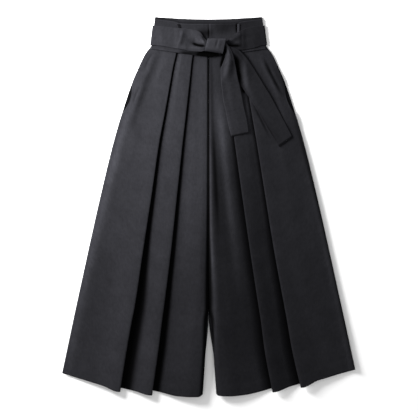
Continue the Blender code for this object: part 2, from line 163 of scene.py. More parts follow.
# Twill: the slope of its ribs and how far a yarn's thick and thin stretches are drawn out
RIB_ANGLE = math.radians(63)
YARN_SHAPE = (1.0, 0.12, 1.0)
# The range in which a noise texture mostly lies
NOISE_SPAN = {"From Min": 0.3, "From Max": 0.7}


def level(layer):
    """Height of the middle of a flat layer of cloth, counted from the surface up."""
    return WALL / 2 + layer * PITCH


# A row for each section of the legs. The folds are given by their distance from the
# centre line; lift is how far a fold's top stands above the pressed stack of layers,
# roll is the radius of the fold, crown is how far the inner panel bulges and pleat is
# the depth of the hidden part.
Leg = namedtuple("Leg", "drop left_side left_outer left_inner left_edge right_edge "
                        "right_inner right_outer right_side lift roll crown pleat")
LEG_ROWS = (
    Leg(84, 161.5, 86.8, 41.5, 0.15, 0.15, 40.6, 89.6, 161.5, 0.0, 0.75, 0.0, 26),
    Leg(96, 172.0, 89.5, 43.3, 0.15, 0.15, 42.0, 91.0, 172.0, 0.0, 0.75, 0.0, 26),
    Leg(110, 181.0, 92.5, 45.2, 0.15, 0.15, 43.4, 93.0, 181.0, 0.0, 0.75, 0.0, 26),
    Leg(140, 195.2, 99.5, 49.0, 0.15, 0.15, 47.0, 98.5, 195.2, 0.0, 0.75, 0.0, 27),
    Leg(187, 215.0, 108.0, 54.0, 0.15, 0.15, 52.2, 107.0, 215.0, 0.1, 0.8, 0.1, 28),
    Leg(260, 239.5, 121.0, 62.0, 0.15, 0.15, 61.5, 119.5, 239.5, 0.3, 0.8, 0.2, 29),
    Leg(350, 266.0, 138.0, 72.5, 0.15, 0.15, 73.5, 135.0, 266.0, 0.7, 0.9, 0.4, 31),
    Leg(500, 302.5, 159.8, 88.5, 0.15, 0.15, 94.5, 159.0, 302.7, 1.6, 1.2, 1.0, 34),
    Leg(650, 336.0, 182.5, 104.5, 0.15, 0.15, 116.0, 183.0, 336.6, 3.2, 1.6, 2.0, 38),
    Leg(815, 371.7, 207.2, 125.0, 0.15, 0.15, 141.0, 213.3, 372.9, 5.2, 2.1, 3.0, 42),
    Leg(848, 378.8, 213.8, 129.5, 5.0, 7.6, 146.3, 219.3, 380.2, 5.6, 2.2, 3.1, 43),
    Leg(930, 396.0, 228.5, 140.0, 8.5, 13.0, 156.8, 233.5, 397.9, 6.0, 2.3, 3.3, 46),
    Leg(1060, 423.0, 249.5, 158.5, 16.5, 22.0, 181.0, 263.5, 425.8, 6.2, 2.4, 3.3, 50),
)

# A row for each line that runs down a front leg, from the centre edge out to the side
# seam. Span names the stretch of cloth, share is the place along it, raise is the share
# of the crown or of the pocket's lift, and the last two say how low the hem is there.
Line = namedtuple("Line", "span share raise_share hem_left hem_right")


def fold_lines(fold, hems_inside, hems_outside):
    """Lines of a knife pleat: the hidden cloth, its turn and the roll of the fold."""
    quarters = (0.25, 0.5, 0.75, 1.0)
    return (Line(fold + "_hidden", 1.0, 0.0, *hems_inside),
            *[Line(fold + "_turn", share, 0.0, *hems_inside) for share in quarters],
            *[Line(fold + "_roll", share, 0.0, *hems_outside) for share in (0.0, *quarters)])


LINES = (
    Line("inner", 0.00, 0.0, 1055.0, 1054.0),
    Line("inner", 0.02, 0.0, 1057.5, 1058.5),
    Line("inner", 0.08, 0.7, 1062.4, 1060.5),
    Line("inner", 0.22, 1.0, 1062.6, 1061.0),
    Line("inner", 0.50, 0.6, 1061.0, 1057.5),
    Line("inner", 0.80, 0.15, 1051.7, 1048.0),
    Line("inner", 1.00, 0.0, 1045.8, 1039.4),
    *fold_lines("inner", (1034.0, 1024.8), (1058.4, 1049.4)),
    Line("middle", 0.00, 0.0, 1046.4, 1034.6),
    Line("middle", 1.00, 0.0, 1038.8, 1027.6),
    *fold_lines("outer", (1027.0, 1013.6), (1048.6, 1036.8)),
    Line("outer", 0.00, 0.0, 1031.5, 1017.5),
    Line("outer", 0.25, 0.0, 1023.0, 1010.0),
    Line("outer", 0.47, 0.0, 1015.5, 1003.0),
    Line("outer", 0.65, 1.0, 1009.5, 997.5),
    Line("outer", 0.84, 1.0, 1003.0, 992.0),
    Line("outer", 1.00, 1.0, 997.6, 987.0),
)
PANEL_MARGIN = 2.0

# How much fuller the cloth lies than its solids: a row for each drop, with the rise of
# the folds' tops, the inner panel, its edge at the inseam, and the side seam
Swell = namedtuple("Swell", "drop fold inner inseam side")
SWELLS = {
    "left": (
        Swell(84, 0.0, 0.0, 0.0, 0.0),
        Swell(187, 0.5, 0.4, 0.0, 0.6),
        Swell(350, 1.2, 0.8, 0.0, 1.3),
        Swell(500, 1.8, 1.8, 0.0, 1.7),
        Swell(700, 2.2, 4.6, 0.2, 2.0),
        Swell(815, 2.0, 5.8, 5.0, 2.2),
        Swell(870, 1.8, 6.4, 12.5, 2.3),
        Swell(980, 1.2, 6.0, 13.0, 3.0),
        Swell(1063, 0.2, 4.8, 8.5, 3.0),
    ),
    "right": (
        Swell(84, 0.0, 0.0, 0.0, 0.0),
        Swell(187, 0.5, 0.8, 0.0, 0.6),
        Swell(350, 1.4, 2.0, 0.0, 3.0),
        Swell(500, 2.2, 3.6, 0.0, 4.0),
        Swell(700, 2.6, 4.6, 0.0, 4.4),
        Swell(815, 2.4, 4.8, 2.5, 4.8),
        Swell(870, 2.0, 5.0, 7.5, 5.0),
        Swell(980, 1.4, 5.0, 7.5, 5.2),
        Swell(1063, 0.6, 4.6, 5.0, 5.2),
    ),
}

# How light the pressed cloth of each panel is painted, as a share of the one cloth colour:
# painted light and shade. The values were set until the render looked as light as the
# photograph, so they hold some of its uneven light. A row for each drop, with the outer
# panel's inner part and its side, how far the painted shade reaches out of each pleat, and
# how far off the centre
Tone = namedtuple("Tone", "drop inner middle outer side inner_reach outer_reach centre")
TONES = {
    "left": (
        Tone(84, 1.22, 1.14, 1.27, 1.08, 5, 5, 4.0),
        Tone(187, 1.35, 1.23, 1.33, 1.10, 7, 7, 4.0),
        Tone(350, 1.44, 1.21, 1.30, 1.12, 9, 10, 4.2),
        Tone(484, 1.35, 1.08, 1.20, 0.99, 12, 14, 4.6),
        Tone(596, 1.10, 1.03, 1.09, 0.97, 15, 19, 5.5),
        Tone(708, 0.88, 0.94, 1.08, 0.82, 18, 29, 7.5),
        Tone(820, 0.74, 0.86, 1.07, 0.77, 24, 40, 9.0),
        Tone(932, 0.72, 0.97, 1.07, 0.83, 28, 44, 7.0),
        Tone(1063, 0.70, 0.94, 1.04, 0.93, 28, 44, 6.0),
    ),
    "right": (
        Tone(84, 0.97, 0.91, 0.90, 0.88, 6, 6, 2.0),
        Tone(260, 0.97, 0.90, 0.84, 0.84, 10, 10, 2.0),
        Tone(372, 0.63, 0.79, 0.79, 0.82, 13, 12, 2.1),
        Tone(484, 0.46, 0.70, 0.79, 0.84, 17, 14, 2.6),
        Tone(596, 0.46, 0.63, 0.79, 0.84, 20, 17, 3.8),
        Tone(708, 0.54, 0.61, 0.77, 0.82, 23, 21, 8.0),
        Tone(790, 0.54, 0.57, 0.74, 0.80, 26, 24, 10.5),
        Tone(850, 0.56, 0.57, 0.73, 0.80, 28, 27, 7.0),
        Tone(932, 0.61, 0.57, 0.73, 0.82, 31, 30, 2.0),
        Tone(1063, 0.72, 0.57, 0.70, 0.77, 33, 32, 1.0),
    ),
}
# The same painted light and shade for the whole of each other piece
PIECE_TONES = {"left_belt": 1.22, "right_belt": 0.57, "knot": 1.38, "front_tail": 0.89,
               "side_tail": 0.70, "back_waistband": 0.87, "front_waistband": 0.96,
               "left_pocket_facing": 0.2, "right_pocket_facing": 0.35,
               "left_belt_loop": 0.3, "right_belt_loop": 1.4}
# How deep in shade the roll of a fold is
ROLL_SHADE = {"left": 0.0, "right": 0.35}

# A row for each line down a back leg: its share of the leg's width and its lower end
BackLine = namedtuple("BackLine", "share hem")
BACK_LINES = (
    BackLine(0.0, 1046.0),
    BackLine(0.07, 1054.0),
    BackLine(0.2, 1053.0),
    BackLine(0.38, 1041.0),
    BackLine(0.6, 1027.0),
    BackLine(0.8, 1009.0),
    BackLine(1.0, 985.0),
)

# Top edges of the two halves of the waistband
BandTop = namedtuple("BandTop", "across front back")
BAND_TOPS = (
    BandTop(0, 19.6, 6.8),
    BandTop(60, 19.2, 5.4),
    BandTop(80, 17.6, 4.4),
    BandTop(92, 13.6, 3.6),
    BandTop(116, 10.0, 2.2),
    BandTop(150, 6.0, 0.0),
)

# Belt, a row for each section from the knot out to the side. Lift is how far it stands
# above the waistband, wave is the depth of the gathers across it.
Belt = namedtuple("Belt", "across upper lower lift wave")
BELTS = {
    "left": (
        Belt(3.5, 68.5, 91.0, 3.5, 0.8),
        Belt(-6.0, 66.5, 92.5, 3.5, 1.2),
        Belt(-12.5, 60.5, 96.0, 3.0, 2.2),
        Belt(-20.0, 47.5, 98.0, 2.0, 3.2),
        Belt(-30.0, 39.5, 98.0, 1.2, 2.6),
        Belt(-42.0, 36.5, 97.5, 0.6, 1.6),
        Belt(-56.0, 34.5, 96.0, 0.2, 0.7),
        Belt(-67.0, 33.0, 93.0, 0.0, 0.2),
        Belt(-84.0, 32.0, 90.0, 0.0, 0.0),
        Belt(-98.0, 30.5, 87.5, 0.0, 0.0),
        Belt(-112.0, 29.0, 85.0, 0.0, 0.0),
        Belt(-126.0, 27.0, 82.5, 0.0, 0.0),
        Belt(-140.0, 25.5, 80.5, 0.0, 0.0),
        Belt(-149.0, 24.8, 79.4, 0.0, 0.0),
    ),
    "right": (
        Belt(34.5, 72.0, 90.0, 3.2, 0.0),
        Belt(42.0, 71.5, 91.0, 3.2, 0.0),
        Belt(50.5, 69.0, 92.0, 2.5, 0.4),
        Belt(59.0, 60.5, 93.0, 1.6, 1.6),
        Belt(68.0, 54.5, 93.5, 0.9, 1.8),
        Belt(80.0, 45.0, 93.5, 0.5, 1.6),
        Belt(94.0, 37.0, 93.0, 0.2, 0.9),
        Belt(108.0, 31.5, 91.5, 0.1, 0.3),
        Belt(126.0, 27.6, 88.0, 0.0, 0.0),
        Belt(140.0, 25.8, 83.3, 0.0, 0.0),
        Belt(149.0, 24.8, 80.0, 0.0, 0.0),
    ),
}
BELT_SHARES = (0.0, 0.09, 0.18, 0.28, 0.38, 0.5, 0.62, 0.72, 0.82, 0.91, 1.0)
BELT_WAVES = 2
BELT_EDGE_CLEAR = 0.6
BELT_WRAP = 3.0
BELT_WRAP_TURNS = (90, 54, 18, -18, -54, -90)
BELT_UNDERLAP = 8.0
BELT_SIDE_UPPER = 24.6
BELT_SIDE_LOWER = 79.2

# Loops, a row for each section down from the top edge of the waistband
Loop = namedtuple("Loop", "drop left right")
LOOP_ROWS = (
    Loop(20.0, -85.0, 83.4),
    Loop(31.0, -81.5, 83.4),
    Loop(42.0, -78.0, 83.4),
    Loop(52.0, -75.5, 83.4),
    Loop(64.0, -75.0, 83.4),
)
LOOP_WIDTH = 6.0
LOOP_RIDGE_FLAT = 10.0
LOOP_RIDGE_FOOT = 20.0

# Knot, a flat wrap: a row for each of its two ends
KnotEnd = namedtuple("KnotEnd", "across_top across_bottom drop half_width")
KNOT_LEFT = KnotEnd(-2.5, -10.6, 79.5, 17.4)
KNOT_RIGHT = KnotEnd(48.7, 39.9, 83.6, 21.1)
KNOT_UNDERSIDE = 8.05
KNOT_TOP = 17.4
KNOT_CROWN = 1.2
KNOT_ROUNDNESS = 0.6

# Tails, a row for each section from the knot to the cut end: the two edges and the
# least height there
Tail = namedtuple("Tail", "left_across left_drop right_across right_drop height ridge")
TAILS = {
    "front": (
        Tail(35.5, 78.0, 44.5, 70.5, 14.5, 0.0),
        Tail(43.5, 88.0, 53.5, 80.5, 14.6, 0.2),
        Tail(48.0, 104.0, 64.5, 98.5, 14.6, 1.2),
        Tail(42.0, 126.0, 71.0, 118.0, 13.4, 2.6),
        Tail(34.0, 149.0, 76.0, 141.0, 11.4, 2.2),
        Tail(34.5, 175.0, 81.0, 168.0, 9.9, 1.2),
        Tail(37.5, 205.0, 87.5, 196.0, 8.2, 0.5),
        Tail(41.0, 235.0, 94.5, 227.0, 7.2, 0.2),
        Tail(47.5, 262.0, 99.5, 254.0, 6.6, 0.0),
        Tail(54.0, 297.0, 107.5, 287.0, 6.4, 0.0),
        Tail(63.5, 335.2, 112.8, 324.5, 6.6, 0.0),
    ),
    "side": (
        Tail(38.5, 83.5, 42.0, 72.0, 12.4, 0.0),
        Tail(48.0, 94.0, 53.5, 82.0, 12.4, 0.2),
        Tail(58.0, 105.0, 80.0, 91.0, 12.0, 0.8),
        Tail(66.0, 126.0, 101.0, 110.0, 10.2, 2.6),
        Tail(75.0, 154.0, 120.0, 135.0, 8.4, 2.6),
        Tail(86.0, 183.0, 137.5, 162.0, 7.7, 1.6),
        Tail(101.0, 208.0, 154.8, 190.7, 7.4, 0.8),
        Tail(120.4, 235.8, 172.0, 218.4, 6.8, 0.3),
        Tail(143.9, 274.4, 193.2, 257.0, 6.0, 0.1),
        Tail(165.5, 312.8, 214.8, 297.6, 5.2, 0.0),
        Tail(197.7, 364.0, 234.9, 336.3, 4.6, 0.0),
    ),
}
TAIL_SHARES = (0.0, 0.17, 0.34, 0.5, 0.66, 0.83, 1.0)
BRIDGE_REACH = 12.0
BRIDGE_SAMPLES = 5

# Creases, a row for each: where it runs from and to, how far it bows aside, how wide it
# is, how high it stands, minus for a trough, and how much lighter it is painted, minus for
# darker: painted highlights on the ridges and painted shade and shadows in the troughs and
# gaps
Crease = namedtuple("Crease", "across drop to_across to_drop bow width height tone",
                    defaults=(0.0,))
LEG_CREASES = {
    "left": (
        Crease(-150, 100, -208, 266, 0, 8, 0.9, 0.2),
        Crease(-132, 98, -196, 266, 2, 12, -0.8, -0.14),
        Crease(-158, 104, -178, 146, 2, 3, -0.5, -0.2),
        Crease(-192, 196, -212, 246, 2, 3, -0.6, -0.22),
        Crease(-118, 130, -152, 200, 5, 8, 0.5, 0.05),
        Crease(-205, 300, -226, 420, -6, 12, 0.5),
        Crease(-190, 360, -215, 560, 8, 16, 0.45),
        Crease(-240, 420, -262, 640, 6, 18, -0.4),
        Crease(-225, 600, -300, 880, -12, 22, 0.5),
        Crease(-280, 640, -322, 900, 8, 18, -0.4),
        Crease(-330, 700, -372, 960, 6, 20, 0.5),
        Crease(-96, 180, -112, 330, 3, 9, 0.35),
        Crease(-118, 420, -150, 640, -5, 12, 0.4),
        Crease(-150, 640, -196, 960, 8, 16, -0.4),
        Crease(-70, 150, -64, 300, 2, 9, 0.35),
        Crease(-40, 330, -52, 620, 5, 16, 0.5),
        Crease(-62, 560, -96, 900, -8, 16, -0.4),
        Crease(-30, 200, -24, 420, 2, 10, -0.35),
        # Painted light along the left leg's outer part
        Crease(-205, 180, -412, 1060, 12, 13, 0, 1.1),
    ),
    "right": (
        Crease(146, 112, 188, 196, 2, 8, 0.9, 0.2),
        Crease(160, 126, 204, 214, 2, 4.6, -1.4, -0.9),
        Crease(178, 118, 224, 232, 0, 9, -0.3, -0.25),
        Crease(187, 112, 215, 190, 0, 3.5, -0.5, -0.7),
        Crease(213, 182, 239, 262, 0, 3.5, -0.5, -0.7),
        Crease(180, 150, 210, 210, -3, 6, 0.4),
        Crease(205, 320, 228, 460, 6, 12, 0.45),
        Crease(205, 430, 250, 700, -8, 18, 0.45),
        Crease(262, 460, 300, 720, 6, 18, -0.4),
        Crease(250, 660, 330, 920, 12, 22, 0.5),
        Crease(320, 660, 366, 940, -8, 20, -0.4),
        Crease(112, 360, 140, 620, 5, 12, 0.4),
        Crease(150, 620, 210, 960, -8, 16, 0.4),
        Crease(32, 250, 74, 624, 0, 13, 1.4, 1.7),
        Crease(8, 110, 12, 330, 0, 5, -0.4, -0.45),
        # Painted shadows beside the knot and along the tails' edges, and painted light over part of
        # a tail's cast shadow
        Crease(44, 106, 35, 142, 0, 5, 0, -1.9),
        Crease(94, 186, 100, 214, 0, 6, 0, -1.6),
        Crease(126, 248, 168, 332, 0, 3, 0, -0.7),
        Crease(108, 236, 114, 330, 0, 5, 0, 0.5),
        Crease(64, 520, 86, 760, -2, 15, 0.8, 0.55),
        Crease(12, 310, 27, 590, 0, 7, -1.2, -0.8),
        Crease(22, 560, 58, 960, 2, 14, -0.8, -0.05),
        Crease(5, 330, 10, 760, 1, 5, 0.6, 1.6),
        Crease(10, 600, 20, 900, 0, 8, 0.6, 0.8),
        Crease(92, 640, 118, 960, 6, 14, 0.5),
        # Painted shade along the right leg's outer part
        Crease(213, 180, 422, 1060, -13, 8, 0, -0.8),
    ),
}
BAND_CREASES = (
    Crease(0, 8, 0, 112, 0, 1.6, -0.7, -0.5),
    Crease(5, 12, 5, 60, 0, 2.0, 0.35, 0.2),
    # Painted shade in the hollow above the knot, to its right and beside the right loop
    Crease(-30, 46, 14, 45, 0, 12, -0.9, -0.7),
    Crease(6, 28, 156, 18, 0, 24, 0, -0.5),
    Crease(79, 17, 79, 46, 0, 3, -0.3, -0.9),
    Crease(20, 40, 62, 38, 0, 14, -0.4, -0.15),
    Crease(-120, 84, -60, 96, 3, 5, 0.4, 0.15),
    Crease(-150, 92, -90, 100, 0, 4, 0.2, 0.3),
    # Painted shadow under the belt and the knot, and in the gap beside the knot
    Crease(-80, 100, -34, 104, 0, 6, -0.3, -0.9),
    Crease(-34, 105, 34, 108, 0, 10, -0.3, -1.9),
    Crease(46, 92, 40, 112, 0, 6, 0, -1.9),
    Crease(60, 100, 120, 90, -2, 5, 0.35),
    Crease(84, 14, 136, 5, 0, 2.5, 0.4, 0.25),
)
BELT_CREASES = {
    "left": (
        Crease(-73, 36, -84, 79, -2, 3.5, 1.0, 0.35),
        Crease(-64, 40, -75, 84, -2, 6, -0.9, -0.25),
        Crease(-54, 72, -34, 70, 0, 10, -0.6, -0.3),
        Crease(-36, 62, -6, 74, 2, 5, 1.2, 0.25),
        Crease(-44, 75, -8, 83, 2, 4.0, -2.4, -1.5),
        Crease(-76, 85, -10, 92, 1, 4, 0.8, 0.2),
        Crease(-112, 48, -88, 58, 2, 9, 0.35, 0.06),
        Crease(-140, 40, -132, 74, 0, 8, 0.3, 0.06),
    ),
    "right": (
        Crease(58, 62, 90, 72, 2, 4.5, 1.1, 0.35),
        Crease(50, 80, 92, 82, 1, 4.4, -2.0, -1.1),
        Crease(54, 72, 88, 78, 1, 3, -0.6, -0.2),
        Crease(74, 46, 93, 51, 0, 3, 0.8, 0.3),
        Crease(91, 30, 91, 86, 0, 2.6, -0.6, -0.3),
        Crease(104, 74, 140, 60, -2, 8, 0.3),
    ),
}
KNOT_CREASES = (
    Crease(26, 61, 19, 88, -1, 3.0, -0.6, -0.3),
    Crease(31, 66, 27, 92, 0, 4.0, 0.5, 0.08),
    Crease(4, 68, -3, 90, 1, 6.0, 0.6, 0.1),
    Crease(-9, 95, 40, 102, 1, 5.0, -0.4, -0.4),
)
TAIL_CREASES = {
    "front": (
        Crease(53, 92, 63, 116, 0, 4, 0.9, 0.4),
        Crease(62, 110, 38, 182, -4, 8, 1.2, 0.5),
        Crease(45, 82, 49, 104, 0, 5, -2.0, -1.2),
        Crease(70, 128, 62, 176, -2, 7, -0.8, -0.2),
        Crease(60, 180, 78, 300, 3, 10, 0.5),
        Crease(48, 190, 62, 300, -2, 7, -0.4),
    ),
    "side": (
        Crease(76, 102, 90, 196, 2, 12, -2.6, -1.2),
        Crease(104, 120, 112, 214, 3, 9, 1.6, 0.75),
        Crease(56, 92, 92, 118, -2, 4, 0.6, 0.3),
        Crease(92, 190, 118, 236, -1, 7, -1.2, -0.35),
        Crease(112, 196, 170, 290, 3, 10, 0.5, 0.08),
        Crease(130, 250, 200, 340, -4, 8, -0.4, -0.05),
        Crease(117, 234, 196, 362, -1, 3, 0, -0.6),
    ),
}

# The cut of each sheet, flat: its width and length, and the share of that box it fills
Cut = namedtuple("Cut", "width length filled")

# A sheet of cloth as a grid of points, with how deep in painted shade each point is and its painted
# light and shade as a tone
Sheet = namedtuple("Sheet", "grid depth tone", defaults=(0.0, None))


def ease(start, end, at):
    """Run softly from 0 at start to 1 at end."""
    share = np.clip((at - start) / (end - start), 0.0, 1.0)
    return share * share * (3.0 - 2.0 * share)


def between(start, end, share):
    """Place at a share of the way from start to end."""
    return start + (end - start) * share


def smooth_slopes(places, values):
    """Slopes of a curve through values at places, along the first axis, that never
    overshoots them."""
    rises = np.diff(values, axis=0) / np.diff(places, axis=0)
    slopes = np.concatenate((rises[:1], rises))
    before, after = rises[:-1], rises[1:]
    same_way = before * after > 0
    both = np.where(same_way, before + after, 1.0)
    slopes[1:-1] = np.where(same_way, 2 * before * after / both, 0.0)
    return slopes


def curve(share, width, start, end, slope_start, slope_end):
    """Place on a smooth curve between two values, at a share of its width."""
    square = share * share
    cube = square * share
    return ((2 * cube - 3 * square + 1) * start + (cube - 2 * square + share) * width * slope_start
            + (3 * square - 2 * cube) * end + (cube - square) * width * slope_end)


def read_table(rows, key, name, at):
    """Read a column of a table on a smooth curve."""
    places = np.array([getattr(row, key) for row in rows], dtype=float)
    values = np.array([getattr(row, name) for row in rows], dtype=float)
    slopes = smooth_slopes(places, values)
    at = np.asarray(at, dtype=float)
    first = np.clip(np.searchsorted(places, at) - 1, 0, len(places) - 2)
    width = places[first + 1] - places[first]
    share = np.clip((at - places[first]) / width, 0.0, 1.0)
    return curve(share, width, values[first], values[first + 1], slopes[first], slopes[first + 1])


def refine(grid, steps):
    """Add lines between the lines of a grid of points, on smooth curves. steps is the
    number of stretches that each gap is cut into."""
    gaps = np.linalg.norm(np.diff(grid, axis=0), axis=2) + TINY
    places = np.concatenate((np.zeros_like(gaps[:1]), np.cumsum(gaps, axis=0)))[:, :, None]
    slopes = smooth_slopes(places, grid)
    lines = []
    for i, count in enumerate(steps):
        width = places[i + 1] - places[i]
        for step in range(count):
            lines.append(curve(step / count, width, grid[i], grid[i + 1], slopes[i], slopes[i + 1]))
    lines.append(grid[-1])
    return np.array(lines)


def refine_both(grid, across_steps, down_steps):
    """Make a coarse grid finer by the same number of steps in every gap each way."""
    grid = refine(np.array(grid, dtype=float), [across_steps] * (len(grid) - 1))
    turned = np.swapaxes(grid, 0, 1)
    turned = refine(turned, [down_steps] * (len(turned) - 1))
    return np.swapaxes(turned, 0, 1)


def crease_sum(creases, name, across, drop):
    """Sum of a column of the soft ridges and troughs, at places on a sheet."""
    total = np.zeros_like(across)
    for crease in creases:
        run = crease.to_across - crease.across, crease.to_drop - crease.drop
        length = math.hypot(*run)
        out, down = across - crease.across, drop - crease.drop
        along = (out * run[0] + down * run[1]) / length ** 2
        aside = (down * run[0] - out * run[1]) / length
        aside = aside - crease.bow * np.sin(math.pi * np.clip(along, 0.0, 1.0))
        taper = ease(*CREASE_START, along) * (1.0 - ease(*CREASE_END, along))
        total += getattr(crease, name) * taper * np.exp(-(aside / crease.width) ** 2)
    return total


def creased(name, creases, across, drop):
    """Rise of a sheet along its creases, and its tone there, which is painted light and shade."""
    tone = PIECE_TONES.get(name, 1.0) * (1.0 + crease_sum(creases, "tone", across, drop))
    return crease_sum(creases, "height", across, drop), tone


def soft_noise(across, drop, seed):
    """Uneven rise of hand-pressed cloth, from 0 to 1."""
    places = zip(across.ravel() / UNEVEN_SIZE, drop.ravel() / (UNEVEN_SIZE * UNEVEN_STRETCH))
    found = [noise.noise(Vector((x, y, seed))) for x, y in places]
    return 0.5 + 0.5 * np.array(found).reshape(across.shape)


def seam_drop(across):
    """Drop of the waist seam, lowest at the centre."""
    share = np.clip(np.abs(across) / BAND_BOTTOM_HALF, 0.0, 1.0)
    return between(BAND_DEPTH_CENTRE, BAND_DEPTH_SIDE, share ** SEAM_CURVE)


def pocket_lift(drop):
    """Share of the height that the pocket facing takes up under the outer panel."""
    return (ease(POCKET_LIFT_FROM, POCKET_LIFT_FULL, drop)
            * (1.0 - ease(POCKET_LIFT_EASE, POCKET_LIFT_TO, drop)))


def pocket_gape(drop):
    """How far the pocket mouth is pulled in from the side seam."""
    share = np.clip((drop - POCKET_FROM) / (POCKET_TO - POCKET_FROM), 0.0, 1.0)
    return POCKET_GAPE * np.sin(math.pi * share)


def leg_row(name, drop):
    """A column of the table of the legs, at drops."""
    return read_table(LEG_ROWS, "drop", name, drop)


def swell_row(leg, name, drop):
    """A column of the table of a leg's fullness, at drops."""
    return read_table(SWELLS[leg], "drop", name, drop)


def tone_row(leg, name, drop):
    """A column of the table of a leg's tones, at drops."""
    return read_table(TONES[leg], "drop", name, drop)


def swell_share(share):
    """How full the inner panel is at a share of its width from the inseam."""
    return math.sin(math.pi * share ** SWELL_LEAN)


def leg_line(leg, line, drop):
    """Distance from the centre line and height of one line of a front leg."""
    inner = leg_row(leg + "_inner", drop)
    outer = leg_row(leg + "_outer", drop)
    pleat = leg_row("pleat", drop)
    base = np.full_like(drop, level(1))
    roll = leg_row("roll", drop)
    fold_top = level(3) + leg_row("lift", drop) + swell_row(leg, "fold", drop)
    span, _, step = line.span.partition("_")
    fold = inner if span in ("inner", "middle") else outer
    if step == "hidden":
        return fold + pleat - FOLD_RADIUS, base
    if step == "turn":
        turn = math.pi * (line.share - 0.5)
        across = fold + pleat - FOLD_RADIUS + FOLD_RADIUS * math.cos(turn)
        return across, base + FOLD_RADIUS + FOLD_RADIUS * math.sin(turn)
    if step == "roll":
        turn = math.pi * (1.5 - line.share)
        return fold + roll + roll * math.cos(turn), fold_top - roll + roll * math.sin(turn)
    if span == "inner":
        across = between(leg_row(leg + "_edge", drop), inner, line.share)
        rise = leg_row("crown", drop) * line.raise_share
        rise = rise + swell_row(leg, "inner", drop) * swell_share(line.share)
        edge_rise = swell_row(leg, "inseam", drop) * (1.0 - line.share) ** INSEAM_FALL
        return across, base + rise + edge_rise
    start = fold + pleat + PANEL_MARGIN
    end = outer - PANEL_MARGIN if span == "middle" else leg_row(leg + "_side", drop)
    across = between(start, end, line.share)
    slope = (across - fold - roll) / (end - fold - roll)
    height = np.maximum(between(fold_top, base, slope), between(level(3), base, line.share))
    if span == "middle":
        return across, height
    if line.share == 1.0:
        across = across - pocket_gape(drop)
    lift = PITCH * pocket_lift(drop) * line.raise_share
    side_rise = swell_row(leg, "side", drop) * ease(SIDE_SWELL_FROM, 1.0, line.share)
    return across, height + lift + side_rise


def top_of_leg(leg, across, drop):
    """Height of the topmost layer of a front leg at places."""
    found = np.full_like(across, level(1))
    before = None
    for line in LINES:
        out, high = leg_line(leg, line, drop)
        if before is not None:
            width = out - before[0]
            wide = np.abs(width) > TINY
            share = np.where(wide, (across - before[0]) / np.where(wide, width, 1.0), -1.0)
            reached = (share >= 0.0) & (share <= 1.0)
            height = between(before[1], high, share)
            found = np.where(reached, np.maximum(found, height), found)
        before = out, high
    return found


def bridged_height(across, drop):
    """Height of a stiff strip that bridges the folds of the right leg near places."""
    steps = np.linspace(-BRIDGE_REACH, BRIDGE_REACH, BRIDGE_SAMPLES)
    return np.max([top_of_leg("right", across + step, drop) for step in steps], axis=0) + PITCH


def leg_steps():
    """Number of columns between each two lines of a front leg."""
    steps = []
    for before, after in zip(LINES, LINES[1:]):
        if before.span == after.span and "_" not in before.span:
            panel_steps = PANEL_STEPS[before.span]
            steps.append(max(1, round(panel_steps * (after.share - before.share))))
        elif before.span.endswith("_roll") and "_" not in after.span:
            steps.append(SLOPE_STEPS)
        elif before.span == after.span:
            steps.append(TURN_STEPS)
        else:
            steps.append(HIDDEN_STEPS)
    return steps


def leg_shade(leg, steps, across, drop):
    """How open to the top each point of a front leg is, how deep in painted shade, and how light it
    is painted.
    """
    open_share = np.ones_like(across)
    depth = np.zeros_like(across)
    tone = tone_row(leg, "middle", drop)
    column = 0
    for (before, after), count in zip(zip(LINES, LINES[1:]), steps):
        part = slice(column, column + count)
        span, _, step = before.span.partition("_")
        # The cloth hidden in a pleat, its turn and the roll of its fold, which comes into
        # the open by and by
        if step:
            open_share[part] = after.share if step == "roll" and before.span == after.span else 0.0
            # Painted shade: full on the hidden cloth and fading over a roll as it comes into the
            # open
            depth[part] = np.maximum(1.0 - open_share[part], ROLL_SHADE[leg])
            if step == "roll" and not after.span.endswith("roll"):
                open_share[part] = 1.0
                depth[part] = 0.0
            if span == "outer" and step == "roll":
                tone[part] = tone_row(leg, "outer", drop[part])
        # The outer panel's painted light changes from the pleat out to the side
        elif span == "outer":
            share = before.share + (after.share - before.share) * np.arange(count) / count
            tone[part] = between(tone_row(leg, "outer", drop[part]),
                                 tone_row(leg, "side", drop[part]),
                                 ease(0.0, SIDE_TONE_FROM, share)[:, None])
        # The inner and middle panels run under the next fold, and its painted shade reaches out
        else:
            next_span = "inner" if span == "inner" else "outer"
            fold = leg_row(leg + "_" + next_span, drop[part])
            away = (fold - across[part]) / tone_row(leg, next_span + "_reach", drop[part])
            if leg == "left":
                depth[part] = 1.0 - ease(*PLEAT_SHADE, away)
            else:
                depth[part] = 1.0 - np.clip(away, 0.0, 1.0) ** PLEAT_SHADE_POWER
            if span == "inner":
                tone[part] = tone_row(leg, "inner", drop[part])
            open_share[part] = ease(0.0, FOLD_CALM, fold - across[part])
        column += count
    tone[column:] = tone_row(leg, "side", drop[column:])
    # Painted shade along the centre edge
    centre = (across - leg_row(leg + "_edge", drop)) / tone_row(leg, "centre", drop)
    depth = np.maximum(depth, 1.0 - ease(*CENTRE_SHADE, centre))
    return open_share, depth, tone


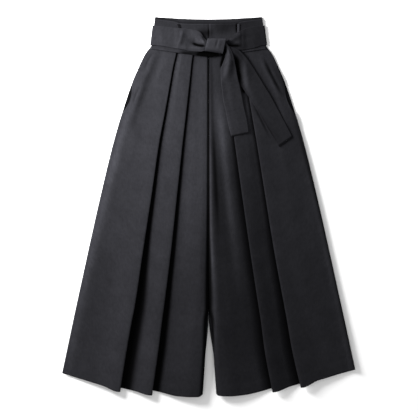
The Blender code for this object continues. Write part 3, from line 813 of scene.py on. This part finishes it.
def front_leg(leg):
    """A front leg with its two pleats, from the centre out."""
    shares = np.linspace(0.0, 1.0, LEG_ROW_COUNT)
    key_lines = []
    for line in LINES:
        across_top, _ = leg_line(leg, line, np.array([FRONT_TOP]))
        top = seam_drop(across_top[0]) - FRONT_TUCK
        drops = between(top, getattr(line, "hem_" + leg), shares)
        across, height = leg_line(leg, line, drops)
        key_lines.append(np.stack((across, drops, height), axis=1))
    steps = leg_steps()
    grid = refine(np.array(key_lines), steps)
    across, drop = grid[:, :, 0], grid[:, :, 1]
    open_share, depth, tone = leg_shade(leg, steps, across, drop)
    sign = SIGNS[leg]
    rise, crease_tone = creased(leg + "_front_leg", LEG_CREASES[leg], sign * across, drop)
    tone = tone * crease_tone
    rise += UNEVEN * soft_noise(across, drop, UNEVEN_SEEDS[leg])
    hem = grid[:, -1:, 1] - drop
    rise += HEM_THICK * (1.0 - ease(HEM_DEPTH - HEM_STEP, HEM_DEPTH + HEM_STEP, hem))
    grid[:, :, 2] += rise * open_share
    grid[:, :, 0] *= sign
    return Sheet(grid, depth, tone)


def back_leg(leg):
    """A plain back leg, flat on the surface."""
    shares = np.linspace(0.0, 1.0, BACK_LEG_ROW_COUNT)
    lines = []
    for line in BACK_LINES:
        top = seam_drop(line.share * BAND_BOTTOM_HALF) - FRONT_TUCK - BACK_BAND_CLEAR - BACK_LEG_TUCK
        drops = between(top, line.hem, shares)
        side = leg_row(leg + "_side", drops)
        edge = leg_row(leg + "_edge", drops) * ease(GAP_FROM, GAP_OPEN, drops)
        lines.append(np.stack((between(edge + SEAM_GAP / 2, side, line.share), drops,
                               np.full_like(drops, level(0))), axis=1))
    grid = refine(np.array(lines), [BACK_LEG_STEPS] * (len(lines) - 1))
    across, drop = grid[:, :, 0], grid[:, :, 1]
    away = {"side": leg_row(leg + "_side", drop) - across,
            "inseam": across - leg_row(leg + "_edge", drop)}
    for seam, inwards in away.items():
        near = 1.0 - ease(0.0, BACK_SWELL_REACH, inwards)
        grid[:, :, 2] += BACK_SWELL * swell_row(leg, seam, drop) * near
    grid[:, :, 0] *= SIGNS[leg]
    return Sheet(grid)


def spread(start, end, points):
    """Even places across a sheet and shares down it, for each point of a grid."""
    return np.meshgrid(np.linspace(start, end, points[0]), np.linspace(0.0, 1.0, points[1]),
                       indexing="ij")


def band_half(drop):
    """Half width of the waistband at a drop."""
    return between(BAND_TOP_HALF, BAND_BOTTOM_HALF, drop / BAND_DEPTH_SIDE)


def band_top(across, half):
    """Drop of the top edge of one half of the waistband."""
    return read_table(BAND_TOPS, "across", half, np.abs(across))


def band_height(across, drop):
    """Height of the front half of the waistband, which rises over the pleats."""
    top = band_top(across, "front")
    down = np.clip((drop - top) / (seam_drop(across) - top), 0.0, 1.0)
    reach = (np.abs(across) - BAND_LEVEL_FROM) / (BAND_LEVEL_TO - BAND_LEVEL_FROM)
    rise = (level(4) - level(2)) * (1.0 - np.clip(reach, 0.0, 1.0))
    return level(2) + rise * down


def waistband(half):
    """One half of the waistband, from side to side."""
    column, share = spread(-BAND_SIDE, BAND_SIDE, BAND_POINTS)
    top = band_top(column, half)
    bottom = seam_drop(column)
    if half == "back":
        bottom = bottom - FRONT_TUCK - BACK_BAND_CLEAR
    drop = between(top, bottom, share)
    past = np.clip((np.abs(column) - BAND_STRAIGHT) / (BAND_SIDE - BAND_STRAIGHT), 0.0, 1.0)
    across = np.abs(column) + past * (band_half(drop) - BAND_SIDE)
    across = np.copysign(across, column)
    if half == "back":
        height = np.full_like(across, level(1))
        under = drop - band_top(across, "front")
        shade = BAND_MOUTH_SHADE * ease(*BAND_MOUTH_REACH, under)
        tone = PIECE_TONES["back_waistband"] * (1.0 - shade)
    else:
        rise, tone = creased("front_waistband", BAND_CREASES, across, drop)
        height = band_height(across, drop) + rise
        height += SEAM_ROLL * (1.0 - ease(*SEAM_ROLL_REACH, bottom - drop))
        lip = 1.0 - ease(*BAND_LIP_REACH, drop - top)
        height += BAND_LIP * lip
        # A painted highlight along the rolled top edge
        tone = tone * (1.0 + BAND_LIP_HIGHLIGHT * lip)
    return Sheet(np.stack((across, drop, height), axis=2), tone=tone)


def loop_place(drop, side):
    """Across place of the middle of a belt loop at drops."""
    return read_table(LOOP_ROWS, "drop", side, drop)


def belt_height(side, across, drop):
    """Height of the belt where it lies on the waistband and over a loop."""
    away = np.abs(across - loop_place(drop, side))
    ridge = PITCH * (1.0 - ease(LOOP_RIDGE_FLAT, LOOP_RIDGE_FOOT, away))
    return band_height(across, drop) + PITCH + BELT_CLEAR + ridge


def belt(side):
    """A front stretch of the belt, from the knot round the side."""
    sign = SIGNS[side]
    shares = np.array(BELT_SHARES)
    lines = []
    for row in BELTS[side]:
        drop = between(row.upper, row.lower, shares)
        across = np.full_like(drop, row.across)
        gather = 0.5 - 0.5 * np.cos(2 * math.pi * BELT_WAVES * shares)
        height = belt_height(side, across, drop) + row.lift + row.wave * gather
        lines.append(np.stack((across, drop, height), axis=1))
    drop = between(BELT_SIDE_UPPER, BELT_SIDE_LOWER, shares)
    edge = band_half(drop)
    top = belt_height(side, sign * edge, drop)
    middle = (top + level(0)) / 2
    for degrees in BELT_WRAP_TURNS:
        turn = math.radians(degrees)
        out = edge + BELT_EDGE_CLEAR + BELT_WRAP * math.cos(turn)
        lines.append(np.stack((sign * out, drop, middle + (top - middle) * math.sin(turn)), axis=1))
    under = np.full_like(drop, level(0))
    lines.append(np.stack((sign * (edge - BELT_UNDERLAP), drop, under), axis=1))
    grid = refine_both(lines, *BELT_STEPS)
    on_top = ease(0.0, PITCH, grid[:, :, 2] - level(2))
    rise, tone = creased(side + "_belt", BELT_CREASES[side], grid[:, :, 0], grid[:, :, 1])
    grid[:, :, 2] += rise * on_top
    return Sheet(grid, tone=tone)


def back_belt():
    """The hidden back stretch of the belt."""
    place, share = spread(-1.0, 1.0, BELT_BACK_POINTS)
    drop = between(BELT_SIDE_UPPER, BELT_SIDE_LOWER, share)
    across = place * (band_half(drop) - BELT_UNDERLAP - SEAM_GAP)
    return Sheet(np.stack((across, drop, np.full_like(drop, level(0))), axis=2))


def belt_loop(side):
    """A belt loop, which runs down behind the belt."""
    lines = []
    for offset in (-LOOP_WIDTH / 2, 0.0, LOOP_WIDTH / 2):
        drop = np.array([row.drop for row in LOOP_ROWS], dtype=float)
        across = loop_place(drop, side) + offset
        lines.append(np.stack((across, drop, band_height(across, drop) + PITCH), axis=1))
    return Sheet(refine_both(lines, *LOOP_STEPS))


def knot():
    """The wrap of the knot: rings around the crossing, from end to end."""
    middle = (KNOT_UNDERSIDE + KNOT_TOP) / 2
    half_height = (KNOT_TOP - KNOT_UNDERSIDE) / 2
    columns, sides = KNOT_POINTS
    along, step = np.meshgrid(np.linspace(0.0, 1.0, columns), np.arange(sides), indexing="ij")
    turn = 2 * math.pi * step / sides
    down = np.copysign(np.abs(np.cos(turn)) ** KNOT_ROUNDNESS, -np.cos(turn))
    up = np.copysign(np.abs(np.sin(turn)) ** KNOT_ROUNDNESS, np.sin(turn))
    lower = (1.0 + down) / 2
    start = between(KNOT_LEFT.across_top, KNOT_LEFT.across_bottom, lower)
    end = between(KNOT_RIGHT.across_top, KNOT_RIGHT.across_bottom, lower)
    half = between(KNOT_LEFT.half_width, KNOT_RIGHT.half_width, along) - WALL / 2
    drop = between(KNOT_LEFT.drop, KNOT_RIGHT.drop, along) + half * down
    across = between(start, end, along)
    over = np.maximum(up, 0.0)
    height = middle + half_height * up + KNOT_CROWN * np.sin(math.pi * along) * over
    rise, tone = creased("knot", KNOT_CREASES, across, drop)
    height += rise * over
    return Sheet(np.stack((across, drop, height), axis=2), tone=tone)


def belt_tail(tail):
    """A tail of the belt, which bridges what it lies on."""
    shares = np.array(TAIL_SHARES)
    lines = []
    for row in TAILS[tail]:
        across = between(row.left_across, row.right_across, shares)
        drop = between(row.left_drop, row.right_drop, shares)
        height = np.maximum(bridged_height(across, drop), row.height)
        height += row.ridge * np.sin(math.pi * shares) ** 2
        lines.append(np.stack((across, drop, height), axis=1))
    grid = refine_both(lines, *TAIL_STEPS)
    rise, tone = creased(tail + "_tail", TAIL_CREASES[tail], grid[:, :, 0], grid[:, :, 1])
    grid[:, :, 2] += rise
    return Sheet(grid, tone=tone)


def pocket_facing(leg):
    """A pocket facing, one layer under the outer panel."""
    outer = [line for line in LINES if line.span == "outer"]
    columns, rows = FACING_POINTS
    drops = np.linspace(POCKET_LIFT_FULL + FACING_END_CLEAR, POCKET_LIFT_EASE - FACING_END_CLEAR,
                        rows)
    start, _ = leg_line(leg, outer[0], drops)
    side = leg_row(leg + "_side", drops)
    lines = []
    for share in np.linspace(FACING_FROM, 1.0, columns):
        across = SIGNS[leg] * between(start, side, share)
        lines.append(np.stack((across, drops, np.full_like(drops, level(1))), axis=1))
    return Sheet(np.array(lines))


def linear(code):
    """Linear colour of an sRGB hex code such as 4A494D."""
    parts = [int(code[place:place + 2], 16) / 255 for place in (0, 2, 4)]
    return tuple(p / 12.92 if p <= 0.04045 else ((p + 0.055) / 1.055) ** 2.4 for p in parts)


def shaded(colour, share):
    """A colour made lighter or darker by a share of itself, with its alpha."""
    return (*[part * share for part in colour], 1.0)


def add(tree, kind, settings=(), values=(), links=()):
    """Add a node with its settings, its inputs' values and the links to its inputs."""
    node = tree.nodes.new(kind)
    for name, value in dict(settings).items():
        setattr(node, name, value)
    for socket, value in dict(values).items():
        node.inputs[socket].default_value = value
    for socket, (source, output) in dict(links).items():
        tree.links.new(source.outputs[output], node.inputs[socket])
    return node


def twill_cloth(name, looks):
    """Woven twill suiting in wool and polyester, piece-dyed charcoal and steam-pressed.

    Fine diagonal ribs and uneven yarns give a matt, faintly mottled face. Shade is painted
    into the pleats and along the centre, and each panel and piece is painted lighter or
    darker as the light falls on it.
    """
    material = bpy.data.materials.new(name)
    material.use_nodes = True
    tree = material.node_tree
    shader = tree.nodes["Principled BSDF"]
    cut = add(tree, "ShaderNodeUVMap", {"uv_map": "cloth"})
    diagonal = add(tree, "ShaderNodeMapping", {}, {"Rotation": (0.0, 0.0, RIB_ANGLE)},
                   {"Vector": (cut, "UV")})
    # Ribs are 0.6 mm apart on such cloth and drawn 1.8 mm apart, so that they show
    ribs = add(tree, "ShaderNodeTexWave", {"wave_type": "BANDS"},
               {"Scale": WAVE_PERIOD / looks.rib_spacing, "Distortion": 1.2, "Detail": 1.0,
                "Detail Scale": 2.0}, {"Vector": (diagonal, "Vector")})
    warp = add(tree, "ShaderNodeMapping", {}, {"Scale": YARN_SHAPE}, {"Vector": (cut, "UV")})
    # Yarns run down the cloth and are thicker and thinner every two centimetres or so
    yarns = add(tree, "ShaderNodeTexNoise", {}, {"Scale": 1.0 / looks.yarn_width, "Detail": 2.0,
                                                "Roughness": 0.6}, {"Vector": (warp, "Vector")})
    mottle = add(tree, "ShaderNodeTexNoise", {}, {"Scale": 1.0 / looks.mottle_size, "Detail": 3.0,
                                                 "Roughness": 0.62}, {"Vector": (cut, "UV")})
    grain = add(tree, "ShaderNodeMix", {"data_type": "FLOAT"}, {"Factor": 0.5},
                {"A": (yarns, "Fac"), "B": (mottle, "Fac")})
    tone = add(tree, "ShaderNodeMapRange", {}, NOISE_SPAN, {"Value": (grain, "Result")})
    face = add(tree, "ShaderNodeMix", {"data_type": "RGBA"},
               {"A": shaded(looks.cloth, 1.0 - looks.contrast),
                "B": shaded(looks.cloth, 1.0 + looks.contrast)}, {"Factor": (tone, "Result")})
    # Pressed cloth is a little lighter and darker in patches of a few centimetres
    patches = add(tree, "ShaderNodeTexNoise", {}, {"Scale": 1.0 / looks.patch_size, "Detail": 2.0},
                  {"Vector": (cut, "UV")})
    pressed = add(tree, "ShaderNodeMapRange", {},
                  {**NOISE_SPAN, "To Min": 1.0 - looks.patch_contrast,
                   "To Max": 1.0 + looks.patch_contrast}, {"Value": (patches, "Fac")})
    # Painted light and shade: each panel and piece is made lighter or darker as the light falls on
    # it, times the random patches
    painted_light = add(tree, "ShaderNodeAttribute", {"attribute_name": "nap_tone"})
    painted_light_and_patches = add(tree, "ShaderNodeMath", {"operation": "MULTIPLY"}, {},
               {0: (painted_light, "Fac"), 1: (pressed, "Result")})
    face_with_painted_light = add(tree, "ShaderNodeVectorMath", {"operation": "SCALE"}, {},
                {"Vector": (face, "Result"), "Scale": (painted_light_and_patches, "Value")})
    # Painted shade: the pleats, the centre line and the folds' rolls are mixed towards a near-black
    # share of the cloth colour
    inside = add(tree, "ShaderNodeAttribute", {"attribute_name": "pleat_depth"})
    colour = add(tree, "ShaderNodeMix", {"data_type": "RGBA"},
                 {"B": shaded(looks.cloth, looks.pleat_shade_tone)},
                 {"Factor": (inside, "Fac"), "A": (face_with_painted_light, "Vector")})
    tree.links.new(colour.outputs["Result"], shader.inputs["Base Color"])
    relief = add(tree, "ShaderNodeMath", {"operation": "ADD"}, {},
                 {0: (ribs, "Fac"), 1: (grain, "Result")})
    bump = add(tree, "ShaderNodeBump", {}, {"Strength": looks.bump, "Distance": 0.0005},
               {"Height": (relief, "Value")})
    tree.links.new(bump.outputs["Normal"], shader.inputs["Normal"])
    shader.inputs["Roughness"].default_value = looks.roughness
    # Crimped fibres scatter nearly all of the light, so that the cloth hardly shines
    shader.inputs["Specular IOR Level"].default_value = looks.gloss
    shader.inputs["Sheen Weight"].default_value = looks.bloom
    shader.inputs["Sheen Roughness"].default_value = 0.5
    return material


def lay_cloth(context, name, node, sheet, ring=False):
    """Make a thin shell through the points of a sheet, in place of its plain solid, which it hides."""
    grid, depth, tone = sheet
    slot = "belt_cloth" if node.startswith("belt") else "trouser_cloth"
    columns, rows = grid.shape[:2]
    points = np.empty((columns * rows, 3))
    points[:, 0] = grid[:, :, 0].ravel() * MM
    points[:, 1] = (LENGTH / 2 - grid[:, :, 1].ravel()) * MM
    points[:, 2] = grid[:, :, 2].ravel() * MM
    index = np.arange(columns * rows).reshape(columns, rows)
    if ring:
        index = np.concatenate((index, index[:, :1]), axis=1)
    faces = np.stack((index[:-1, :-1], index[:-1, 1:], index[1:, 1:], index[1:, :-1]), axis=2)
    faces = faces.reshape(-1, 4)
    mesh = bpy.data.meshes.new(name)
    mesh.from_pydata(points.tolist(), [], faces.tolist())
    metres = points.reshape(columns, rows, 3)
    wide = np.linalg.norm(np.diff(metres, axis=0), axis=2)
    long = np.linalg.norm(np.diff(metres, axis=1), axis=2)
    wide = np.concatenate((np.zeros((1, rows)), np.cumsum(wide, axis=0)))
    long = np.concatenate((np.zeros((columns, 1)), np.cumsum(long, axis=1)), axis=1)
    flat = np.stack((wide.ravel(), long.ravel()), axis=1)
    corners = np.empty(len(mesh.loops), dtype=int)
    mesh.loops.foreach_get("vertex_index", corners)
    layer = mesh.uv_layers.new(name="cloth")
    layer.data.foreach_set("uv", flat[corners].ravel())
    if tone is None:
        tone = PIECE_TONES.get(name, 1.0)
    # The attributes carry the painted shade of the pleats, the rolls and the centre, and the painted
    # light and shade of each panel and piece
    for kind, values in (("pleat_depth", depth), ("nap_tone", tone)):
        attribute = mesh.attributes.new(kind, "FLOAT", "POINT")
        values = np.broadcast_to(values, (columns, rows)).astype(np.float32)
        attribute.data.foreach_set("value", values.ravel())
    mesh.shade_smooth()
    piece = bpy.data.objects.new(name, mesh)
    context.scene.collection.objects.link(piece)
    mesh.materials.append(bpy.data.materials[slot.replace("_", " ")])
    wall = piece.modifiers.new("Wall", "SOLIDIFY")
    wall.thickness = context.scene.hakama_sizes.wall
    wall.offset = 0.0
    wall.use_even_offset = True
    bpy.ops.object.select_all(action="DESELECT")
    piece.select_set(True)
    context.view_layer.objects.active = piece
    bpy.ops.object.modifier_apply(modifier=wall.name)
    if len(piece.data.polygons) < 2 * len(faces):
        raise RuntimeError(name + " has no wall")
    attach(piece, "root")
    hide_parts(node)


class HakamaSizes(bpy.types.PropertyGroup):
    wall: FloatProperty(name="Cloth thickness", description="Thickness of every sheet of cloth",
                        default=WALL * MM, min=0.0006, max=0.002, unit="LENGTH")


class HakamaCloth(bpy.types.PropertyGroup):
    cloth: FloatVectorProperty(name="Cloth colour", description="Colour of the dyed twill",
                               default=linear("202023"), size=3, min=0.0, max=1.0, subtype="COLOR")
    contrast: FloatProperty(name="Yarn contrast", description="How far the yarns differ in tone",
                            default=0.22, min=0.0, max=1.0, subtype="FACTOR")
    # Tone of the painted shade in the pleats, as a share of the cloth colour
    pleat_shade_tone: FloatProperty(name="Pleat tone", description="Tone inside the pleats",
                              default=0.05, min=0.0, max=1.0, subtype="FACTOR")
    roughness: FloatProperty(name="Roughness", description="Roughness of the cloth's face",
                             default=0.8, min=0.0, max=1.0, subtype="FACTOR")
    gloss: FloatProperty(name="Gloss", description="Strength of the cloth's shine",
                         default=0.015, min=0.0, max=1.0, subtype="FACTOR")
    bloom: FloatProperty(name="Bloom", description="Faint sheen of the fibre ends",
                         default=0.004, min=0.0, max=1.0, subtype="FACTOR")
    bump: FloatProperty(name="Weave relief", description="Depth of the weave",
                        default=0.35, min=0.0, max=1.0, subtype="FACTOR")
    rib_spacing: FloatProperty(name="Rib spacing", description="Distance of the twill's ribs",
                               default=0.0018, min=0.0005, max=0.01, unit="LENGTH")
    yarn_width: FloatProperty(name="Yarn width", description="Width of the uneven yarns",
                              default=0.0022, min=0.0005, max=0.01, unit="LENGTH")
    mottle_size: FloatProperty(name="Mottle size", description="Size of the patches of tone",
                               default=0.009, min=0.002, max=0.1, unit="LENGTH")
    patch_size: FloatProperty(name="Patch size", description="Size of the lighter and darker "
                              "patches of the pressed cloth", default=0.045, min=0.01, max=0.2,
                              unit="LENGTH")
    patch_contrast: FloatProperty(name="Patch contrast", description="How far the patches differ "
                                  "in tone", default=0.09, min=0.0, max=0.5, subtype="FACTOR")


class HakamaStage(bpy.types.PropertyGroup):
    floor_side: FloatProperty(name="Floor side", description="Length of the floor's sides",
                              default=12.0, min=2.0, max=40.0, unit="LENGTH")
    floor_colour: FloatVectorProperty(name="Floor colour", description="Colour of the floor",
                                      default=linear("FAFAFA"), size=3, min=0.0, max=1.0,
                                      subtype="COLOR")
    fill: FloatProperty(name="Fill light", description="Strength of the even light all round",
                        default=0.62, min=0.0, max=5.0)
    key: FloatProperty(name="Key light", description="Power of the soft light at the upper left",
                       default=132.0, min=0.0, max=2000.0, unit="POWER")
    key_size: FloatProperty(name="Key light size", description="Side of the soft light",
                            default=0.85, min=0.05, max=3.0, unit="LENGTH")
    camera_height: FloatProperty(name="Camera height", description="Height of the camera",
                                 default=2.767, min=0.5, max=20.0, unit="LENGTH")


class HAKAMA_OT_back_legs(bpy.types.Operator):
    """Make the two plain back legs, flat on the floor"""
    bl_idname = "hakama.back_legs"
    bl_label = "Back legs"

    def execute(self, context):
        for leg in SIGNS:
            lay_cloth(context, leg + "_back_leg", "back_leg_" + leg, back_leg(leg))
        return {"FINISHED"}


class HAKAMA_OT_pocket_facings(bpy.types.Operator):
    """Make the facings behind the two slanted pocket mouths"""
    bl_idname = "hakama.pocket_facings"
    bl_label = "Pocket facings"

    def execute(self, context):
        for leg in SIGNS:
            lay_cloth(context, leg + "_pocket_facing", "pocket_facing_" + leg,
                      pocket_facing(leg))
        return {"FINISHED"}


class HAKAMA_OT_front_legs(bpy.types.Operator):
    """Make the two front legs with their knife pleats"""
    bl_idname = "hakama.front_legs"
    bl_label = "Front legs"

    def execute(self, context):
        for leg in SIGNS:
            lay_cloth(context, leg + "_front_leg", "front_leg_" + leg,
                      front_leg(leg))
        return {"FINISHED"}


class HAKAMA_OT_waistband(bpy.types.Operator):
    """Make the back and the front of the waistband"""
    bl_idname = "hakama.waistband"
    bl_label = "Waistband"

    def execute(self, context):
        lay_cloth(context, "back_waistband", "waistband_back",
                  waistband("back"))
        lay_cloth(context, "front_waistband", "waistband_front",
                  waistband("front"))
        return {"FINISHED"}


class HAKAMA_OT_belt_loops(bpy.types.Operator):
    """Make the two belt loops on the waistband"""
    bl_idname = "hakama.belt_loops"
    bl_label = "Belt loops"

    def execute(self, context):
        for side in SIGNS:
            lay_cloth(context, side + "_belt_loop", "belt_loop_" + side,
                      belt_loop(side))
        return {"FINISHED"}


class HAKAMA_OT_belt(bpy.types.Operator):
    """Make the belt behind the waist and its two stretches in front"""
    bl_idname = "hakama.belt"
    bl_label = "Belt"

    def execute(self, context):
        lay_cloth(context, "back_belt", "belt_run_back", back_belt())
        for side in SIGNS:
            lay_cloth(context, side + "_belt", "belt_run_" + side,
                      belt(side))
        return {"FINISHED"}


class HAKAMA_OT_tails(bpy.types.Operator):
    """Make the two hanging tails of the belt"""
    bl_idname = "hakama.tails"
    bl_label = "Tails"

    def execute(self, context):
        for tail in ("side", "front"):
            lay_cloth(context, tail + "_tail", "belt_tail_" + tail,
                      belt_tail(tail))
        return {"FINISHED"}


class HAKAMA_OT_knot(bpy.types.Operator):
    """Make the flat wrap of the knot"""
    bl_idname = "hakama.knot"
    bl_label = "Knot"

    def execute(self, context):
        lay_cloth(context, "knot", "belt_knot", knot(), ring=True)
        return {"FINISHED"}


class HAKAMA_OT_stage(bpy.types.Operator):
    """Make the floor, the soft lights and the camera straight above"""
    bl_idname = "hakama.stage"
    bl_label = "Stage"

    def execute(self, context):
        stage = context.scene.hakama_stage
        bpy.ops.object.select_all(action="DESELECT")
        bpy.ops.mesh.primitive_plane_add(size=stage.floor_side, location=(0.0, 0.0, 0.0))
        floor = context.active_object
        floor.name = "floor"
        paper = bpy.data.materials.new("white backdrop paper")
        paper.use_nodes = True
        shader = paper.node_tree.nodes["Principled BSDF"]
        shader.inputs["Base Color"].default_value = (*stage.floor_colour, 1.0)
        shader.inputs["Roughness"].default_value = 0.9
        shader.inputs["Specular IOR Level"].default_value = 0.1
        floor.data.materials.append(paper)

        world = bpy.data.worlds.new("even light")
        world.use_nodes = True
        sky = world.node_tree.nodes["Background"]
        sky.inputs["Color"].default_value = (1.0, 1.0, 1.0, 1.0)
        sky.inputs["Strength"].default_value = stage.fill
        context.scene.world = world

        bpy.ops.object.light_add(type="AREA", location=KEY_PLACE)
        key = context.active_object
        key.name = "key light"
        key.data.shape = "DISK"
        key.data.size = stage.key_size
        key.data.energy = stage.key
        key.rotation_mode = "QUATERNION"
        key.rotation_quaternion = (Vector(KEY_TARGET) - Vector(KEY_PLACE)).to_track_quat("-Z", "Y")
        key.visible_camera = False

        bpy.ops.object.camera_add(location=(CAMERA_ACROSS, CAMERA_UP, stage.camera_height),
                                  rotation=(0.0, 0.0, 0.0))
        camera = context.active_object
        camera.name = "camera"
        camera.data.lens = 85.0
        camera.data.sensor_width = 36.0
        context.scene.camera = camera
        context.scene.view_settings.view_transform = "Standard"
        return {"FINISHED"}


class HAKAMA_PT_panel(bpy.types.Panel):
    bl_idname = "HAKAMA_PT_panel"
    bl_label = "Hakama trousers"
    bl_space_type = "VIEW_3D"
    bl_region_type = "UI"
    bl_category = "Hakama"

    def draw(self, context):
        for group in (context.scene.hakama_sizes, context.scene.hakama_cloth,
                      context.scene.hakama_stage):
            for name in group.__annotations__:
                self.layout.prop(group, name)
        for operator in OPERATORS:
            self.layout.operator(operator.bl_idname)


GROUPS = {"hakama_sizes": HakamaSizes, "hakama_cloth": HakamaCloth, "hakama_stage": HakamaStage}
OPERATORS = (HAKAMA_OT_stage, HAKAMA_OT_back_legs, HAKAMA_OT_pocket_facings,
             HAKAMA_OT_front_legs, HAKAMA_OT_waistband, HAKAMA_OT_belt_loops, HAKAMA_OT_belt,
             HAKAMA_OT_tails, HAKAMA_OT_knot)


def register():
    for made in (*GROUPS.values(), *OPERATORS, HAKAMA_PT_panel):
        bpy.utils.register_class(made)
    for name, group in GROUPS.items():
        setattr(bpy.types.Scene, name, PointerProperty(type=group))


def unregister():
    for name in GROUPS:
        delattr(bpy.types.Scene, name)
    for made in reversed((*GROUPS.values(), *OPERATORS, HAKAMA_PT_panel)):
        bpy.utils.unregister_class(made)


def main():
    register()
    for name in ("trouser cloth", "belt cloth"):
        twill_cloth(name, bpy.context.scene.hakama_cloth)
    for operator in OPERATORS:
        family, name = operator.bl_idname.split(".")
        getattr(getattr(bpy.ops, family), name)()


if __name__ == "__main__":
    main()
